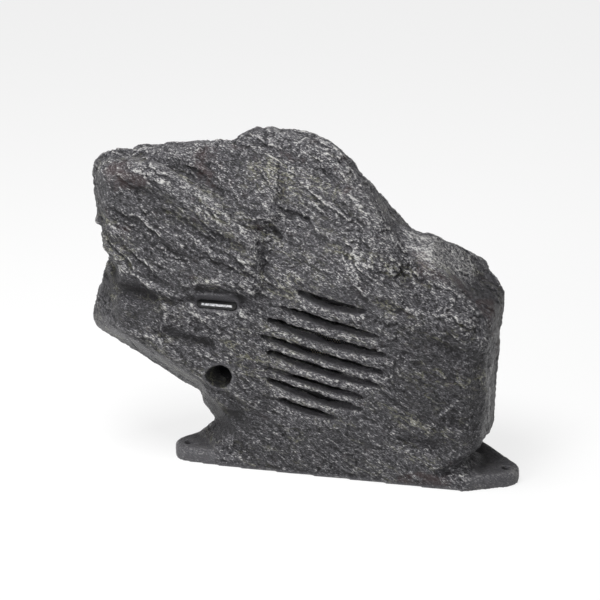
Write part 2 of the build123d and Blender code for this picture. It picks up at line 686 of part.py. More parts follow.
def spider():
    """Corrugated disc that centres the coil."""
    inner = COIL_RADIUS + THREAD_FIT
    outer = SPIDER_SEAT_BORE
    step = (outer - inner) / (2 * SPIDER_WAVES)
    crests = range(2 * SPIDER_WAVES + 1)
    waves = [(inner + k * step, SPIDER_SEAT - SPIDER_WAVE_HEIGHT * (k % 2)) for k in crests]
    waves.append((SPIDER_SEAT_RADIUS - SHEET, SPIDER_SEAT))
    front = [(radius, depth - SKIN) for radius, depth in waves]
    return FRONT.location * turned(*waves, *reversed(front))


def tweeter_rim():
    """Depth of the tweeter's rim."""
    return SCREEN_BACK + TWEETER_STANDOFF


def tweeter_post():
    """Bolt through the pole that carries the tweeter."""
    floor = tweeter_rim() + TWEETER_DEPTH - TWEETER_FLOOR
    bolt = rod(POST_RADIUS, floor, YOKE_BACK)
    bolt += hex_prism(POST_HEAD_FLATS, YOKE_BACK, YOKE_BACK + POST_HEAD_HEIGHT)
    return FRONT.location * bolt


def tweeter_cup():
    """Moulded cup screwed on the end of the post."""
    rim = tweeter_rim()
    back = rim + TWEETER_DEPTH
    floor = back - TWEETER_FLOOR
    inner = TWEETER_RADIUS - TWEETER_WALL
    bore = POST_RADIUS + THREAD_FIT
    return FRONT.location * turned(
        (bore, floor), (inner, floor), (inner, rim), (TWEETER_RADIUS, rim), (TWEETER_RADIUS, floor),
        (TWEETER_RADIUS - TWEETER_FLOOR, back), (bore, back))


def tweeter_magnet():
    """Small disc magnet on the floor of the cup."""
    floor = tweeter_rim() + TWEETER_DEPTH - TWEETER_FLOOR
    return FRONT.location * rod(TWEETER_MAGNET_RADIUS, floor - TWEETER_MAGNET_THICKNESS, floor)


def tweeter_dome():
    """Domed diaphragm and its ring, seated on the cup's rim."""
    rim = tweeter_rim()
    ball = (DOME_RADIUS ** 2 + DOME_HEIGHT ** 2) / (2 * DOME_HEIGHT)
    centre = Pos(0, 0, -rim + DOME_HEIGHT - ball)
    dome = centre * Sphere(ball + DOME_SKIN) - centre * Sphere(ball)
    dome &= rod(DOME_RADIUS + DOME_SKIN, rim - 2 * DOME_HEIGHT, rim)
    return FRONT.location * (dome + ring(TWEETER_RADIUS, DOME_RADIUS, rim - DOME_SKIN, rim))


def strip_place():
    """Place of the terminal strip on the back of the flange."""
    middle = (FLANGE_BORE + SHEET + FLANGE_RADIUS) / 2
    return FRONT.location * Rot(0, 0, STRIP_ANGLE) * Pos(middle, 0, -FLANGE_BACK)


def terminal_strip():
    """Insulating strip with two solder tabs."""
    strip = Pos(0, 0, -STRIP_THICKNESS / 2) * Box(STRIP_WIDTH, STRIP_LENGTH, STRIP_THICKNESS)
    for side in (-1, 1):
        height = STRIP_THICKNESS + TAB_LENGTH / 2
        strip += Pos(0, side * LEAD_SPACING / 2, -height) * Box(TAB_THICKNESS, TAB_WIDTH, TAB_LENGTH)
    return strip_place() * strip


def driver_leads():
    """Two leads from the strip's tabs down to the crossover board."""
    leads = []
    for side in (-1, 1):
        tab = strip_place() * Pos(0, side * LEAD_SPACING / 2, -(STRIP_THICKNESS + TAB_LENGTH))
        start = Vector(*tab.position)
        pad = COVER.location * Pos(BOARD_LENGTH / 4 - side * LEAD_SPACING / 2, 0, BOARD_TOP)
        end = Vector(*pad.position)
        out = start + FRONT.z_dir * -12
        over = Vector(end.X, end.Y, end.Z + 12)
        path = FilletPolyline(start, out, over, end, radius=6)
        profile = Plane(start, z_dir=-FRONT.z_dir) * Circle(LEAD_RADIUS)
        leads.append(sweep(profile, path))
    return Compound(leads)


def port_tube():
    """Plastic tube seated in the collar behind the port."""
    flare = 2 * PORT_TUBE_WALL
    far = PORT_SEAT_DEPTH + PORT_TUBE_LENGTH
    bore = PORT_BORE / 2
    return PORT.location * turned(
        (bore, PORT_SEAT_DEPTH), (PORT_TUBE_RADIUS, PORT_SEAT_DEPTH), (PORT_TUBE_RADIUS, far - flare),
        (PORT_TUBE_RADIUS + flare, far), (bore + flare, far), (bore, far - flare))


def damping_pad():
    """Sheet of wadding on the inside of the back wall."""
    wall = cut_plane("body", "back", 0, PAD_UP)
    pad = Pos(0, 0, -WALL - FIT - PAD_THICKNESS / 2) * Box(PAD_LENGTH, PAD_HEIGHT, PAD_THICKNESS)
    return wall.location * fillet(pad.edges().filter_by(Axis.Z), PAD_THICKNESS)


def cover_outline():
    """Outline of the cover and its seal, a little smaller than the rebate."""
    corner = OPENING_CORNER + COVER_LEDGE - FIT
    return RectangleRounded(COVER_LENGTH - 2 * FIT, COVER_WIDTH - 2 * FIT, corner)


def base_plate():
    """Moulded cover with countersunk holes and four posts for the crossover board."""
    plate = Pos(0, 0, COVER_STANDOFF) * extrude(cover_outline(), COVER_THICKNESS)
    for place in BOARD_POSTS:
        plate += place * Pos(0, 0, COVER_TOP + POST_HEIGHT / 2) * Cylinder(BOARD_POST_RADIUS, POST_HEIGHT)
        hole = Pos(0, 0, BOARD_UNDER) * rod(BOARD_SCREW_RADIUS + THREAD_FIT, 0, BOARD_SCREW_LENGTH)
        plate -= place * hole
    for place in COVER_SCREWS:
        plate -= place * Pos(0, 0, COVER_TOP) * rod(COVER_SCREW_RADIUS + FIT, 0, COVER_THICKNESS)
        plate -= place * cover_screw_head(FIT / 2)
    return COVER.location * plate


def cover_screw_head(growth=0.0):
    """Countersunk head, flush with the underside of the cover."""
    head = COVER_SCREW_HEAD + growth
    tip = COVER_SCREW_RADIUS + growth
    under = -COVER_STANDOFF
    return turned((0, under), (head, under), (tip, under - (head - tip)), (0, under - (head - tip)))


def base_gasket():
    """Flat seal between the cover and the ledge round the opening."""
    seal = cover_outline() - RectangleRounded(OPENING_LENGTH, OPENING_WIDTH, OPENING_CORNER)
    for place in COVER_SCREWS:
        seal -= place * Circle(COVER_SCREW_RADIUS + FIT)
    return COVER.location * Pos(0, 0, COVER_TOP) * extrude(seal, COVER_GASKET)


def base_screws():
    """Countersunk screws of the cover."""
    shank = Pos(0, 0, COVER_STANDOFF) * rod(COVER_SCREW_RADIUS, -COVER_SCREW_LENGTH, 0)
    screw = shank + cover_screw_head()
    return Compound([COVER.location * place * screw for place in COVER_SCREWS])


def base_inserts():
    """Brass inserts in the ledge, one for each screw."""
    insert = ring(INSERT_RADIUS, COVER_SCREW_RADIUS + THREAD_FIT, -RECESS_TOP - INSERT_LENGTH, -RECESS_TOP)
    return Compound([COVER.location * place * insert for place in COVER_SCREWS])


def on_board(x, y):
    """Place on top of the crossover board."""
    return COVER.location * Pos(x, y, BOARD_TOP)


def crossover_board():
    """Laminate board on the cover's posts."""
    board = Pos(0, 0, BOARD_UNDER + BOARD_THICKNESS / 2) * Box(BOARD_LENGTH, BOARD_WIDTH, BOARD_THICKNESS)
    for place in BOARD_POSTS:
        board -= place * Pos(0, 0, BOARD_TOP) * rod(BOARD_SCREW_RADIUS + FIT, 0, BOARD_THICKNESS)
    return COVER.location * board


def board_screws():
    """Screws that hold the board to its posts."""
    shank = rod(BOARD_SCREW_RADIUS, 0, BOARD_SCREW_LENGTH)
    screw = shank + rod(BOARD_SCREW_HEAD, -BOARD_SCREW_HEAD_HEIGHT, 0)
    return Compound([COVER.location * place * Pos(0, 0, BOARD_TOP) * screw for place in BOARD_POSTS])


def crossover_inductor():
    """Air-cored coil on a spool, standing on the board."""
    coil = INDUCTOR_RADIUS - SPOOL_STEP
    top = -INDUCTOR_HEIGHT
    return on_board(-BOARD_LENGTH / 5, 0) * turned(
        (INDUCTOR_CORE, 0), (INDUCTOR_RADIUS, 0), (INDUCTOR_RADIUS, -SPOOL_FLANGE), (coil, -SPOOL_FLANGE),
        (coil, top + SPOOL_FLANGE), (INDUCTOR_RADIUS, top + SPOOL_FLANGE), (INDUCTOR_RADIUS, top),
        (INDUCTOR_CORE, top))


def crossover_capacitor():
    """Film capacitor lying on the board."""
    body = Rot(0, 90, 0) * Cylinder(CAPACITOR_RADIUS, CAPACITOR_LENGTH)
    body = chamfer(body.edges(), CAPACITOR_RADIUS / 8)
    place = on_board(BOARD_LENGTH / 5, BOARD_WIDTH / 2 - CAPACITOR_RADIUS - 1)
    return place * Pos(0, 0, CAPACITOR_RADIUS) * body


def input_terminal():
    """Two-way screw terminal at the edge of the board."""
    block = Pos(0, 0, TERMINAL_HEIGHT / 2) * Box(TERMINAL_LENGTH, TERMINAL_WIDTH, TERMINAL_HEIGHT)
    for side in (-1, 1):
        x = side * TERMINAL_LENGTH / 4
        mouth = Box(TERMINAL_MOUTH, TERMINAL_WIDTH, TERMINAL_MOUTH)
        block -= Pos(x, -TERMINAL_WIDTH / 2, TERMINAL_HEIGHT / 3) * mouth
        block -= Pos(x, 0, TERMINAL_HEIGHT) * Cylinder(TERMINAL_MOUTH / 2, TERMINAL_MOUTH)
    return on_board(BOARD_LENGTH / 5, -BOARD_WIDTH / 2 + TERMINAL_WIDTH / 2 + 1) * block


def gland_body():
    """Hexagonal body with its thread through the wall and a neck outside."""
    body = hex_prism(GLAND_FLATS, -GLAND_FLANGE, 0)
    body += rod(GLAND_THREAD, 0, WALL + 2 * GLAND_NUT)
    body += rod(GLAND_NECK, -GLAND_FLANGE - GLAND_NECK_LENGTH, -GLAND_FLANGE)
    body -= rod(GLAND_BORE, -GLAND_FLANGE - GLAND_NECK_LENGTH, WALL + 2 * GLAND_NUT)
    return BACK.location * body


def gland_seal():
    """Rubber bush that grips the cable."""
    far = -GLAND_FLANGE - GLAND_NECK_LENGTH + GLAND_SEAL_LENGTH
    return BACK.location * ring(GLAND_BORE - THREAD_FIT, CABLE_BORE, far - GLAND_SEAL_LENGTH, far)


def gland_cap():
    """Domed cap screwed over the neck."""
    near = -GLAND_FLANGE - FIT
    neck_end = -GLAND_FLANGE - GLAND_NECK_LENGTH - FIT
    end = near - GLAND_CAP_LENGTH
    bore = GLAND_NECK + THREAD_FIT
    return BACK.location * turned(
        (bore, near), (GLAND_CAP_RADIUS, near), (GLAND_CAP_RADIUS, neck_end),
        (GLAND_CAP_MOUTH + SHEET, end), (GLAND_CAP_MOUTH, end), (GLAND_CAP_MOUTH, neck_end), (bore, neck_end))


def gland_nut():
    """Locknut on the inside of the wall."""
    nut = hex_prism(GLAND_FLATS, WALL, WALL + GLAND_NUT)
    nut -= rod(GLAND_THREAD + THREAD_FIT, WALL, WALL + GLAND_NUT)
    return BACK.location * nut


PIECES = (
    rock_shell, badge_plate, grille_screen, driver_gasket, driver_basket, driver_screws, top_plate,
    magnet_ring,
    pole_yoke, coil_former, coil_winding, cone, surround, spider, tweeter_post, tweeter_cup,
    tweeter_magnet, tweeter_dome, terminal_strip, driver_leads, port_tube, damping_pad, base_plate,
    base_gasket, base_screws,
    base_inserts, crossover_board, board_screws, crossover_inductor, crossover_capacitor, input_terminal,
    gland_body, gland_seal, gland_cap, gland_nut,
)

os.makedirs("parts", exist_ok=True)
for piece in PIECES:
    export_step(piece(), f"parts/{piece.__name__}.step")
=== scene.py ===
"""Dresses the rock shaped garden speaker: its stone relief, its finishes, the studio and the camera."""

import json
import logging
import math
from dataclasses import dataclass, field
from enum import Enum
from typing import Any, Optional

import bmesh
import bpy
from bpy.types import ID, Material, Mesh, Node, NodeSocket as Socket, NodeTree as Tree, Object
import numpy as np
from mathutils import Matrix, Vector
from mathutils.bvhtree import BVHTree


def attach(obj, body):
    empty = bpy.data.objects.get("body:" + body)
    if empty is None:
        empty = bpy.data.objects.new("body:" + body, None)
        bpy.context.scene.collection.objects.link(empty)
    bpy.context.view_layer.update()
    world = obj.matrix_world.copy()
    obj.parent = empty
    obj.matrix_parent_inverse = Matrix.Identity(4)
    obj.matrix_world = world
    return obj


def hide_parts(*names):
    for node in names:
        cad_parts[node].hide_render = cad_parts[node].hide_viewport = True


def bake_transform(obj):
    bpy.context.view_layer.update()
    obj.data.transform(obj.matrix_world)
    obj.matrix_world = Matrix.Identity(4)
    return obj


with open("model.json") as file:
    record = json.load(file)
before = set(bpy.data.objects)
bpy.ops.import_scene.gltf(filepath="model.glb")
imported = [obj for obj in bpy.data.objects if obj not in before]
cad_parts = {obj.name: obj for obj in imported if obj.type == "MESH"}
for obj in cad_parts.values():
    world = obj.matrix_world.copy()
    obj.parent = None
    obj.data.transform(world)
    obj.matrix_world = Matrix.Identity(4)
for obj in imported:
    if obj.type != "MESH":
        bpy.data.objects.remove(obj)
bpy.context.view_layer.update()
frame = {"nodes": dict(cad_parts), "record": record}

LOG = logging.getLogger("garden_speaker")
MM = 0.001
BODY = "speaker"
Point = tuple[float, float, float]
Pair = tuple[float, float]
Outline = list[Pair]
Array = np.ndarray


def linear(code: str) -> tuple[float, float, float, float]:
    """Turn an sRGB hex colour into linear light.

    Args:
        code: six hex digits, with or without a leading hash.

    Returns:
        Red, green, blue and alpha in linear light.
    """
    digits = code.lstrip("#")
    parts = [int(digits[i:i + 2], 16) / 255 for i in (0, 2, 4)]
    light = [p / 12.92 if p <= 0.04045 else ((p + 0.055) / 1.055) ** 2.4 for p in parts]
    return light[0], light[1], light[2], 1.0


@dataclass(frozen=True)
class Seat:
    """A face of the rock: the way it points, and the point in it that a part is seated on.

    The turn is in degrees from the front towards the right, seen from above, and the lean is in degrees above
    the level.
    """

    turn: float
    lean: float = 0.0
    place: Point = (0.0, 0.0, 0.0)

    def axes(self) -> tuple[Array, Array, Array]:
        """Find the directions of the face.

        Returns:
            Unit vectors to its right along the level, up along the face and out of it.
        """
        turn, lean = math.radians(self.turn), math.radians(self.lean)
        level = np.array([math.cos(turn), math.sin(turn), 0])
        out = np.array([math.sin(turn) * math.cos(lean), -math.cos(turn) * math.cos(lean), math.sin(lean)])
        return level, np.cross(out, level), out

    def out(self) -> Array:
        """Direction that the face points in."""
        return self.axes()[2]

    def matrix(self) -> Matrix:
        """Frame of the face in metres, with its Z axis pointing out."""
        rows = [(*ways, middle * MM) for *ways, middle in zip(*self.axes(), self.place)]
        return Matrix((*rows, (0, 0, 0, 1)))


# The driver sits behind the front face, and the badge in a recess above the port.
DRIVER = Seat(-3.0, 0.0, (-18.61, -23.85, 123.0))
BADGE = Seat(-3.0, 42.0, (-116.5, -19.6, 163.4))


def smoothstep(low: float, high: float, value: Array) -> Array:
    """Ease from 0 at low to 1 at high."""
    t = np.clip((value - low) / (high - low), 0.0, 1.0)
    return t * t * (3.0 - 2.0 * t)


def add_node(tree: Tree, kind: str, settings: Optional[dict[Any, Any]] = None) -> Node:
    """Add a shader node with its settings and links.

    Args:
        tree: the material's or world's node tree.
        kind: Blender's name of the node type, without the leading ShaderNode.
        settings: values by input name, input number or property name. A socket, or a node for its first
            output, is linked, and "ramp" holds colour stops.

    Returns:
        The new node.
    """
    node = tree.nodes.new(f"ShaderNode{kind}")
    for key, value in (settings or {}).items():
        if isinstance(value, Node):
            value = value.outputs[0]
        if isinstance(value, Socket):
            tree.links.new(node.inputs[key], value)
        elif key == "ramp":
            stops = node.color_ramp.elements
            while len(stops) < len(value):
                stops.new(1.0)
            for stop, (place, colour) in zip(stops, value):
                stop.position = place
                stop.color = colour
        elif isinstance(key, int) or key in node.inputs:
            node.inputs[key].default_value = value
        else:
            setattr(node, key, value)
    return node


def scale_of(size_mm: float) -> float:
    """Scale that draws a pattern at its real size."""
    return 1 / (size_mm * MM)


def new_material(name: str) -> tuple[Material, Tree]:
    """Start an empty material.

    Args:
        name: the material's name.

    Returns:
        The material and its node tree.
    """
    material = bpy.data.materials.new(name)
    material.use_nodes = True
    material.node_tree.nodes.clear()
    return material, material.node_tree


class Noise:
    """Seeded gradient noise and cell noise on arrays of points, the same on every run."""

    # Entries of the tables, gain that brings the noise to about -1 to 1, step and shift from size to size.
    SIZE = 4096
    SWING = 1.6
    FINER = 2.03
    SHIFT = 17.3

    def __init__(self, seed: int) -> None:
        """Draw the tables.

        Args:
            seed: number that fixes the pattern.
        """
        draw = np.random.default_rng(seed)
        self.order = draw.permutation(self.SIZE)
        slopes = draw.normal(size=(self.SIZE, 3))
        self.slopes = slopes / np.linalg.norm(slopes, axis=1, keepdims=True)
        self.spots = draw.random((self.SIZE, 3))

    def key(self, cell: Array) -> Array:
        """Find the table index of each lattice cell.

        Args:
            cell: whole numbers of shape (n, 3).

        Returns:
            One index for each cell.
        """
        index = np.zeros(len(cell), np.int64)
        for axis in range(3):
            index = self.order[(index + cell[:, axis]) & (self.SIZE - 1)]
        return index

    def gradient(self, points: Array) -> Array:
        """Smooth noise of about -1 to 1, with one lattice cell per unit.

        Args:
            points: an array of shape (n, 3).

        Returns:
            One value for each point.
        """
        cell = np.floor(points).astype(np.int64)
        part = points - cell
        ease = part ** 3 * (part * (part * 6 - 15) + 10)
        total = np.zeros(len(points))
        for corner in np.ndindex(2, 2, 2):
            step = np.array(corner)
            slope = self.slopes[self.key(cell + step)]
            weight = np.prod(np.where(step == 1, ease, 1 - ease), axis=1)
            total += weight * np.einsum("ij,ij->i", slope, part - step)
        return total * self.SWING

    def fractal(self, points: Array, octaves: int, gain: float = 0.5) -> Array:
        """Sum of ever finer gradient noise.

        Args:
            points: an array of shape (n, 3).
            octaves: how many sizes are summed.
            gain: strength of each size against the one before it.

        Returns:
            One value for each point, of about -1 to 1.
        """
        total, strength, reach = np.zeros(len(points)), 1.0, 0.0
        for octave in range(octaves):
            total += strength * self.gradient(points * self.FINER ** octave + self.SHIFT * octave)
            reach += strength
            strength *= gain
        return total / reach

    def cells(self, points: Array) -> tuple[Array, Array]:
        """Find the nearest seed of a random cell pattern.

        Args:
            points: an array of shape (n, 3).

        Returns:
            The table index of the seed's cell, and the way from the seed to the point.
        """
        cell = np.floor(points).astype(np.int64)
        near = np.full(len(points), np.inf)
        index = np.zeros(len(points), np.int64)
        way = np.zeros((len(points), 3))
        for step in np.ndindex(3, 3, 3):
            other = cell + np.array(step) - 1
            key = self.key(other)
            arm = points - (other + self.spots[key])
            reach = np.linalg.norm(arm, axis=1)
            closer = reach < near
            for kept, found in ((near, reach), (index, key), (way, arm)):
                kept[closer] = found[closer]
        return index, way


class MeshData:
    """A mesh as arrays, with the sums over neighbours that smoothing needs."""

    def __init__(self, mesh: Mesh) -> None:
        """Read the arrays.

        Args:
            mesh: the mesh to work on.
        """
        self.mesh = mesh
        count = len(mesh.vertices)
        self.points = np.empty(count * 3)
        mesh.vertices.foreach_get("co", self.points)
        self.points = self.points.reshape(-1, 3) / MM
        edges = np.empty(len(mesh.edges) * 2, np.int64)
        mesh.edges.foreach_get("vertices", edges)
        self.edges = edges.reshape(-1, 2)
        self.degree = np.bincount(self.edges.ravel(), minlength=count).clip(1)

    def around(self, values: Array) -> Array:
        """Mean of the neighbours' values.

        Args:
            values: one number, or one row, for each vertex.

        Returns:
            An array of the same shape.
        """
        a, b = self.edges[:, 0], self.edges[:, 1]
        columns = values.reshape(len(values), -1)
        mean = np.empty_like(columns, dtype=float)
        for k in range(columns.shape[1]):
            column = columns[:, k]
            total = np.bincount(a, column[b], len(values)) + np.bincount(b, column[a], len(values))
            mean[:, k] = total / self.degree
        return mean.reshape(values.shape)

    def blurred(self, values: Array, rounds: int) -> Array:
        """Average values with the neighbours'.

        Args:
            values: one number, or one row, for each vertex.
            rounds: how often.

        Returns:
            An array of the same shape.
        """
        for _ in range(rounds):
            values = 0.5 * values + 0.5 * self.around(values)
        return values

    def normals(self) -> Array:
        """Read the vertices' normals.

        Returns:
            One unit vector for each vertex.
        """
        flat = np.empty(len(self.points) * 3, np.float32)
        self.mesh.vertices.foreach_get("normal", flat)
        return flat.reshape(-1, 3).astype(float)

    def store(self) -> None:
        """Write the points back to the mesh."""
        self.mesh.vertices.foreach_set("co", (self.points * MM).ravel())
        self.mesh.update()

    def keep(self, name: str, values: Array) -> None:
        """Store one number for each vertex, for the shader to read."""
        layer = self.mesh.attributes.new(name, "FLOAT", "POINT")
        layer.data.foreach_set("value", values.astype(np.float32))


def linked_object(name: str, data: ID) -> Object:
    """Put a mesh, a lamp or a camera into the scene.

    Args:
        name: the object's name.
        data: what it shows.

    Returns:
        The new object.
    """
    made = bpy.data.objects.new(name, data)
    bpy.context.scene.collection.objects.link(made)
    return made


def modified(made: Object, name: str, kind: str, settings: dict[str, Any]) -> Mesh:
    """Run one modifier on an object.

    Args:
        made: the object, which is left as it is.
        name: name for the new mesh.
        kind: Blender's name of the modifier.
        settings: the modifier's values.

    Returns:
        The new mesh.
    """
    modifier = made.modifiers.new(kind, kind)
    for key, value in settings.items():
        setattr(modifier, key, value)
    bpy.context.view_layer.update()
    graph = bpy.context.evaluated_depsgraph_get()
    mesh = bpy.data.meshes.new_from_object(made.evaluated_get(graph))
    mesh.name = name
    made.modifiers.clear()
    return mesh


def voxel_mesh(name: str, mesh: Mesh, size_mm: float) -> Mesh:
    """Fuse a mesh and cut it into even cells.

    Args:
        name: name for the new mesh.
        mesh: the mesh to start from.
        size_mm: size of the cells.

    Returns:
        The new mesh.
    """
    rough = linked_object("rough", mesh)
    made = modified(rough, name, "REMESH", {"mode": "VOXEL", "voxel_size": size_mm * MM})
    bpy.data.objects.remove(rough)
    return made


def smooth_in(mesh: Mesh, material: Material) -> None:
    """Shade a mesh smooth, in one material.

    Args:
        mesh: the mesh to shade.
        material: its only material.
    """
    mesh.polygons.foreach_set("use_smooth", [True] * len(mesh.polygons))
    mesh.materials.clear()
    mesh.materials.append(material)


class Surface(Enum):
    """How the surface of a plain finish was made."""

    MOULDED = "moulded"
    BRUSHED = "brushed"
    WOVEN = "woven"
    FIBROUS = "fibrous"


@dataclass(frozen=True)
class Finish:
    """One plain material: its colour, its gloss and the grain that its making left."""

    name: str
    colour: str
    second: str
    roughness: float
    grain_mm: float
    depth_mm: float
    made: Surface = Surface.MOULDED
    metallic: float = 0.0

    STOPS = (0.25, 0.75)
    GLOSS_SPREAD = (0.85, 1.2)
    BUMP_STRENGTH = 0.6
    STRETCH = {
        Surface.MOULDED: (1.0, 1.0, 1.0),
        Surface.BRUSHED: (0.04, 1.0, 1.0),
        Surface.FIBROUS: (1.0, 0.3, 1.0),
    }

    def material(self) -> Material:
        """Build the material.

        Returns:
            A material whose colour, gloss and bump follow one pattern of the real grain size.
        """
        material, tree = new_material(self.name)
        pattern = self.pattern(tree, add_node(tree, "TexCoord").outputs["Object"])
        stops = list(zip(self.STOPS, (linear(self.colour), linear(self.second))))
        low, high = (min(1.0, self.roughness * share) for share in self.GLOSS_SPREAD)
        bump = {"Height": pattern, "Distance": self.depth_mm * MM, "Strength": self.BUMP_STRENGTH}
        shader = add_node(tree, "BsdfPrincipled", {
            "Base Color": add_node(tree, "ValToRGB", {"ramp": stops, 0: pattern}),
            "Metallic": self.metallic,
            "Roughness": add_node(tree, "MapRange", {"Value": pattern, "To Min": low, "To Max": high}),
            "Normal": add_node(tree, "Bump", bump),
        })
        add_node(tree, "OutputMaterial", {"Surface": shader})
        return material

    def pattern(self, tree: Tree, place: Socket) -> Socket:
        """Pattern of the surface, from 0 to 1.

        Args:
            tree: the material's node tree.
            place: coordinates in metres.

        Returns:
            The socket with the pattern.
        """
        if self.made is Surface.WOVEN:
            thread = {"Distortion": 0.6, "Detail": 1.0, "Detail Scale": 2.0}
            wave = {"Vector": place, "Scale": 0.5 / (self.grain_mm * MM), **thread}
            warp, weft = (add_node(tree, "TexWave", {**wave, "bands_direction": way}) for way in "XZ")
            threads = {0: warp.outputs["Fac"], 1: weft.outputs["Fac"]}
            return add_node(tree, "Math", {"operation": "MAXIMUM", **threads}).outputs[0]
        drawn = add_node(tree, "Mapping", {"Scale": self.STRETCH[self.made], "Vector": place})
        grain = {"Vector": drawn, "Scale": scale_of(self.grain_mm), "Detail": 4.0, "Roughness": 0.6}
        return add_node(tree, "TexNoise", grain).outputs["Fac"]


@dataclass(frozen=True)
class StoneWash:
    """Cast resin in stone relief: a near-black coat, a grey wash, and ridges brushed nearly dry in pale grey.

    It gives the eye dark hollows and chalk pale ridges, partly painted shade and painted highlights, a mid
    grey skin with a faint violet cast, a yellowish edge on the ridges, rusty patches where the wash was
    stained, and a lighter grey on the sheltered faces, painted light that lifts their shade.
    """

    name: str = "resin_cast_stone_washed"
    # Darkest colour: the wash in the hollows, with painted shade there and in the port's bore.
    hollow_wash_and_shade: str = "#121114"
    skin: str = "#363539"
    worn: str = "#626165"
    # Lightest colour: the dry brush on the ridges, partly painted highlights.
    ridge: str = "#c8c7c4"
    vein: str = "#a3a283"
    stain: str = "#382423"
    # Lighter grey for the smooth sheltered faces: painted light that lifts their shade.
    plain: str = "#535256"
    pit_mm: float = 1.0
    speck_mm: float = 3.4
    patch_mm: float = 55.0
    vein_mm: float = 7.0
    break_mm: float = 26.0
    rust_mm: float = 16.0
    pit_depth_mm: float = 2.1
    bed_fall: float = 24.0
    bed_draw: float = 2.6
    speck_gain: float = 0.95
    # Strength of the fine grit in the coat, whose light specks are partly painted glints.
    grit_and_glint_gain: float = 2.1
    patch_gain: float = 0.26
    wrinkle_gain: float = 0.16
    wrinkle_shift: float = -0.02
    yellowing: float = 0.34
    rust_pull: float = 0.22
    rust_share: float = 0.52
    # Share of the lighter grey on sheltered faces, painted light that lifts their shade.
    shade_lift_share: float = 0.8
    gloss: Pair = (0.22, 0.52)

    def material(self) -> Material:
        """Build the material.

        Returns:
            A material that reads the relief stored with the mesh.
        """
        material, tree = new_material(self.name)
        place = add_node(tree, "TexCoord").outputs["Object"]
        height, calm, stain = (
            add_node(tree, "Attribute", {"attribute_name": name}).outputs["Fac"]
            for name in ("relief", "calm", "stain")
        )
        fall = {"Rotation": (0, math.radians(self.bed_fall), 0), "Scale": (self.bed_draw, 1, 1)}
        drawn = add_node(tree, "Mapping", {"vector_type": "TEXTURE", "Vector": place, **fall})
        blotches = (
            (drawn, self.speck_mm, 6.0, 0.72),
            (drawn, self.pit_mm, 2.0, 0.6),
            (place, self.patch_mm, 5.0, 0.6),
            (place, self.rust_mm, 6.0, 0.7),
        )
        speck, grit, patch, rust = (
            add_node(tree, "TexNoise", {
                "Vector": at, "Scale": scale_of(size), "Detail": detail, "Roughness": rough})
            for at, size, detail, rough in blotches
        )
        wrinkle = self.wrinkles(tree, drawn)
        # Dry brushing catches the ridges and wrinkles, and misses them here and there; the fine grit's light
        # specks are partly painted glints.
        terms = [(source, gain, -gain / 2) for source, gain in (
            (speck, self.speck_gain), (grit, self.grit_and_glint_gain), (patch, self.patch_gain))]
        for source, gain, shift in (*terms, (wrinkle, self.wrinkle_gain, self.wrinkle_shift)):
            scaled = add_node(tree, "Math", {"operation": "MULTIPLY_ADD", 0: source, 1: gain, 2: shift})
            height = add_node(tree, "Math", {"operation": "ADD", 0: height, 1: scaled})
        colours = (self.hollow_wash_and_shade, self.skin, self.worn, self.ridge)
        stops = [(at, linear(colour)) for at, colour in zip((0.10, 0.38, 0.64, 1.0), colours)]
        paint = add_node(tree, "ValToRGB", {"ramp": stops, 0: height}).outputs[0]
        yellowed = add_node(tree, "Math", {"operation": "MULTIPLY", 0: wrinkle, 1: self.yellowing})
        blotch = add_node(tree, "Math", {"operation": "MULTIPLY_ADD", 0: stain, 1: self.rust_pull, 2: rust})
        rusty = add_node(tree, "MapRange", {
            "Value": blotch, "From Min": 0.60, "From Max": 0.74, "To Max": self.rust_share})
        # Sheltered faces, such as the sills and the undersides, take the lighter plain grey: painted light
        # that lifts their shade.
        shade_lift = add_node(tree, "Math", {"operation": "MULTIPLY", 0: calm, 1: self.shade_lift_share})
        for share, colour in ((yellowed, self.vein), (rusty, self.stain), (shade_lift, self.plain)):
            coats = {"data_type": "RGBA", 0: share, 6: paint, 7: linear(colour)}
            paint = add_node(tree, "Mix", coats).outputs[2]
        pits = add_node(tree, "Math", {"operation": "ADD", 0: speck, 1: grit})
        bump = {"Height": pits, "Strength": 1.0, "Distance": self.pit_depth_mm * MM}
        low, high = self.gloss
        shader = add_node(tree, "BsdfPrincipled", {
            "Base Color": paint,
            "Roughness": add_node(tree, "MapRange", {"Value": speck, "To Min": low, "To Max": high}),
            "Normal": add_node(tree, "Bump", bump),
        })
        add_node(tree, "OutputMaterial", {"Surface": shader})
        return material

    def wrinkles(self, tree: Tree, place: Node) -> Socket:
        """Fine crooked lines where thick paint dried on the wrinkles of the casting.

        Args:
            tree: the material's node tree.
            place: node with coordinates in metres.

        Returns:
            The socket with the pattern: 1 on a line, 0 beside it.
        """
        noise = {"Vector": place, "Detail": 3.0}
        level = add_node(tree, "TexNoise", {**noise, "Scale": scale_of(self.vein_mm), "Roughness": 0.55})
        breaks = add_node(tree, "TexNoise", {**noise, "Scale": scale_of(self.break_mm), "Roughness": 0.6})
        middle = add_node(tree, "Math", {"operation": "SUBTRACT", 0: level, 1: 0.5})
        aside = add_node(tree, "Math", {"operation": "ABSOLUTE", 0: middle})
        edge = {"From Min": 0.008, "From Max": 0.03, "To Min": 1.0, "To Max": 0.0}
        line = add_node(tree, "MapRange", {"Value": aside, **edge})
        shown = add_node(tree, "MapRange", {"Value": breaks, "From Min": 0.50, "From Max": 0.66})
        return add_node(tree, "Math", {"operation": "MULTIPLY", 0: line, 1: shown}).outputs[0]


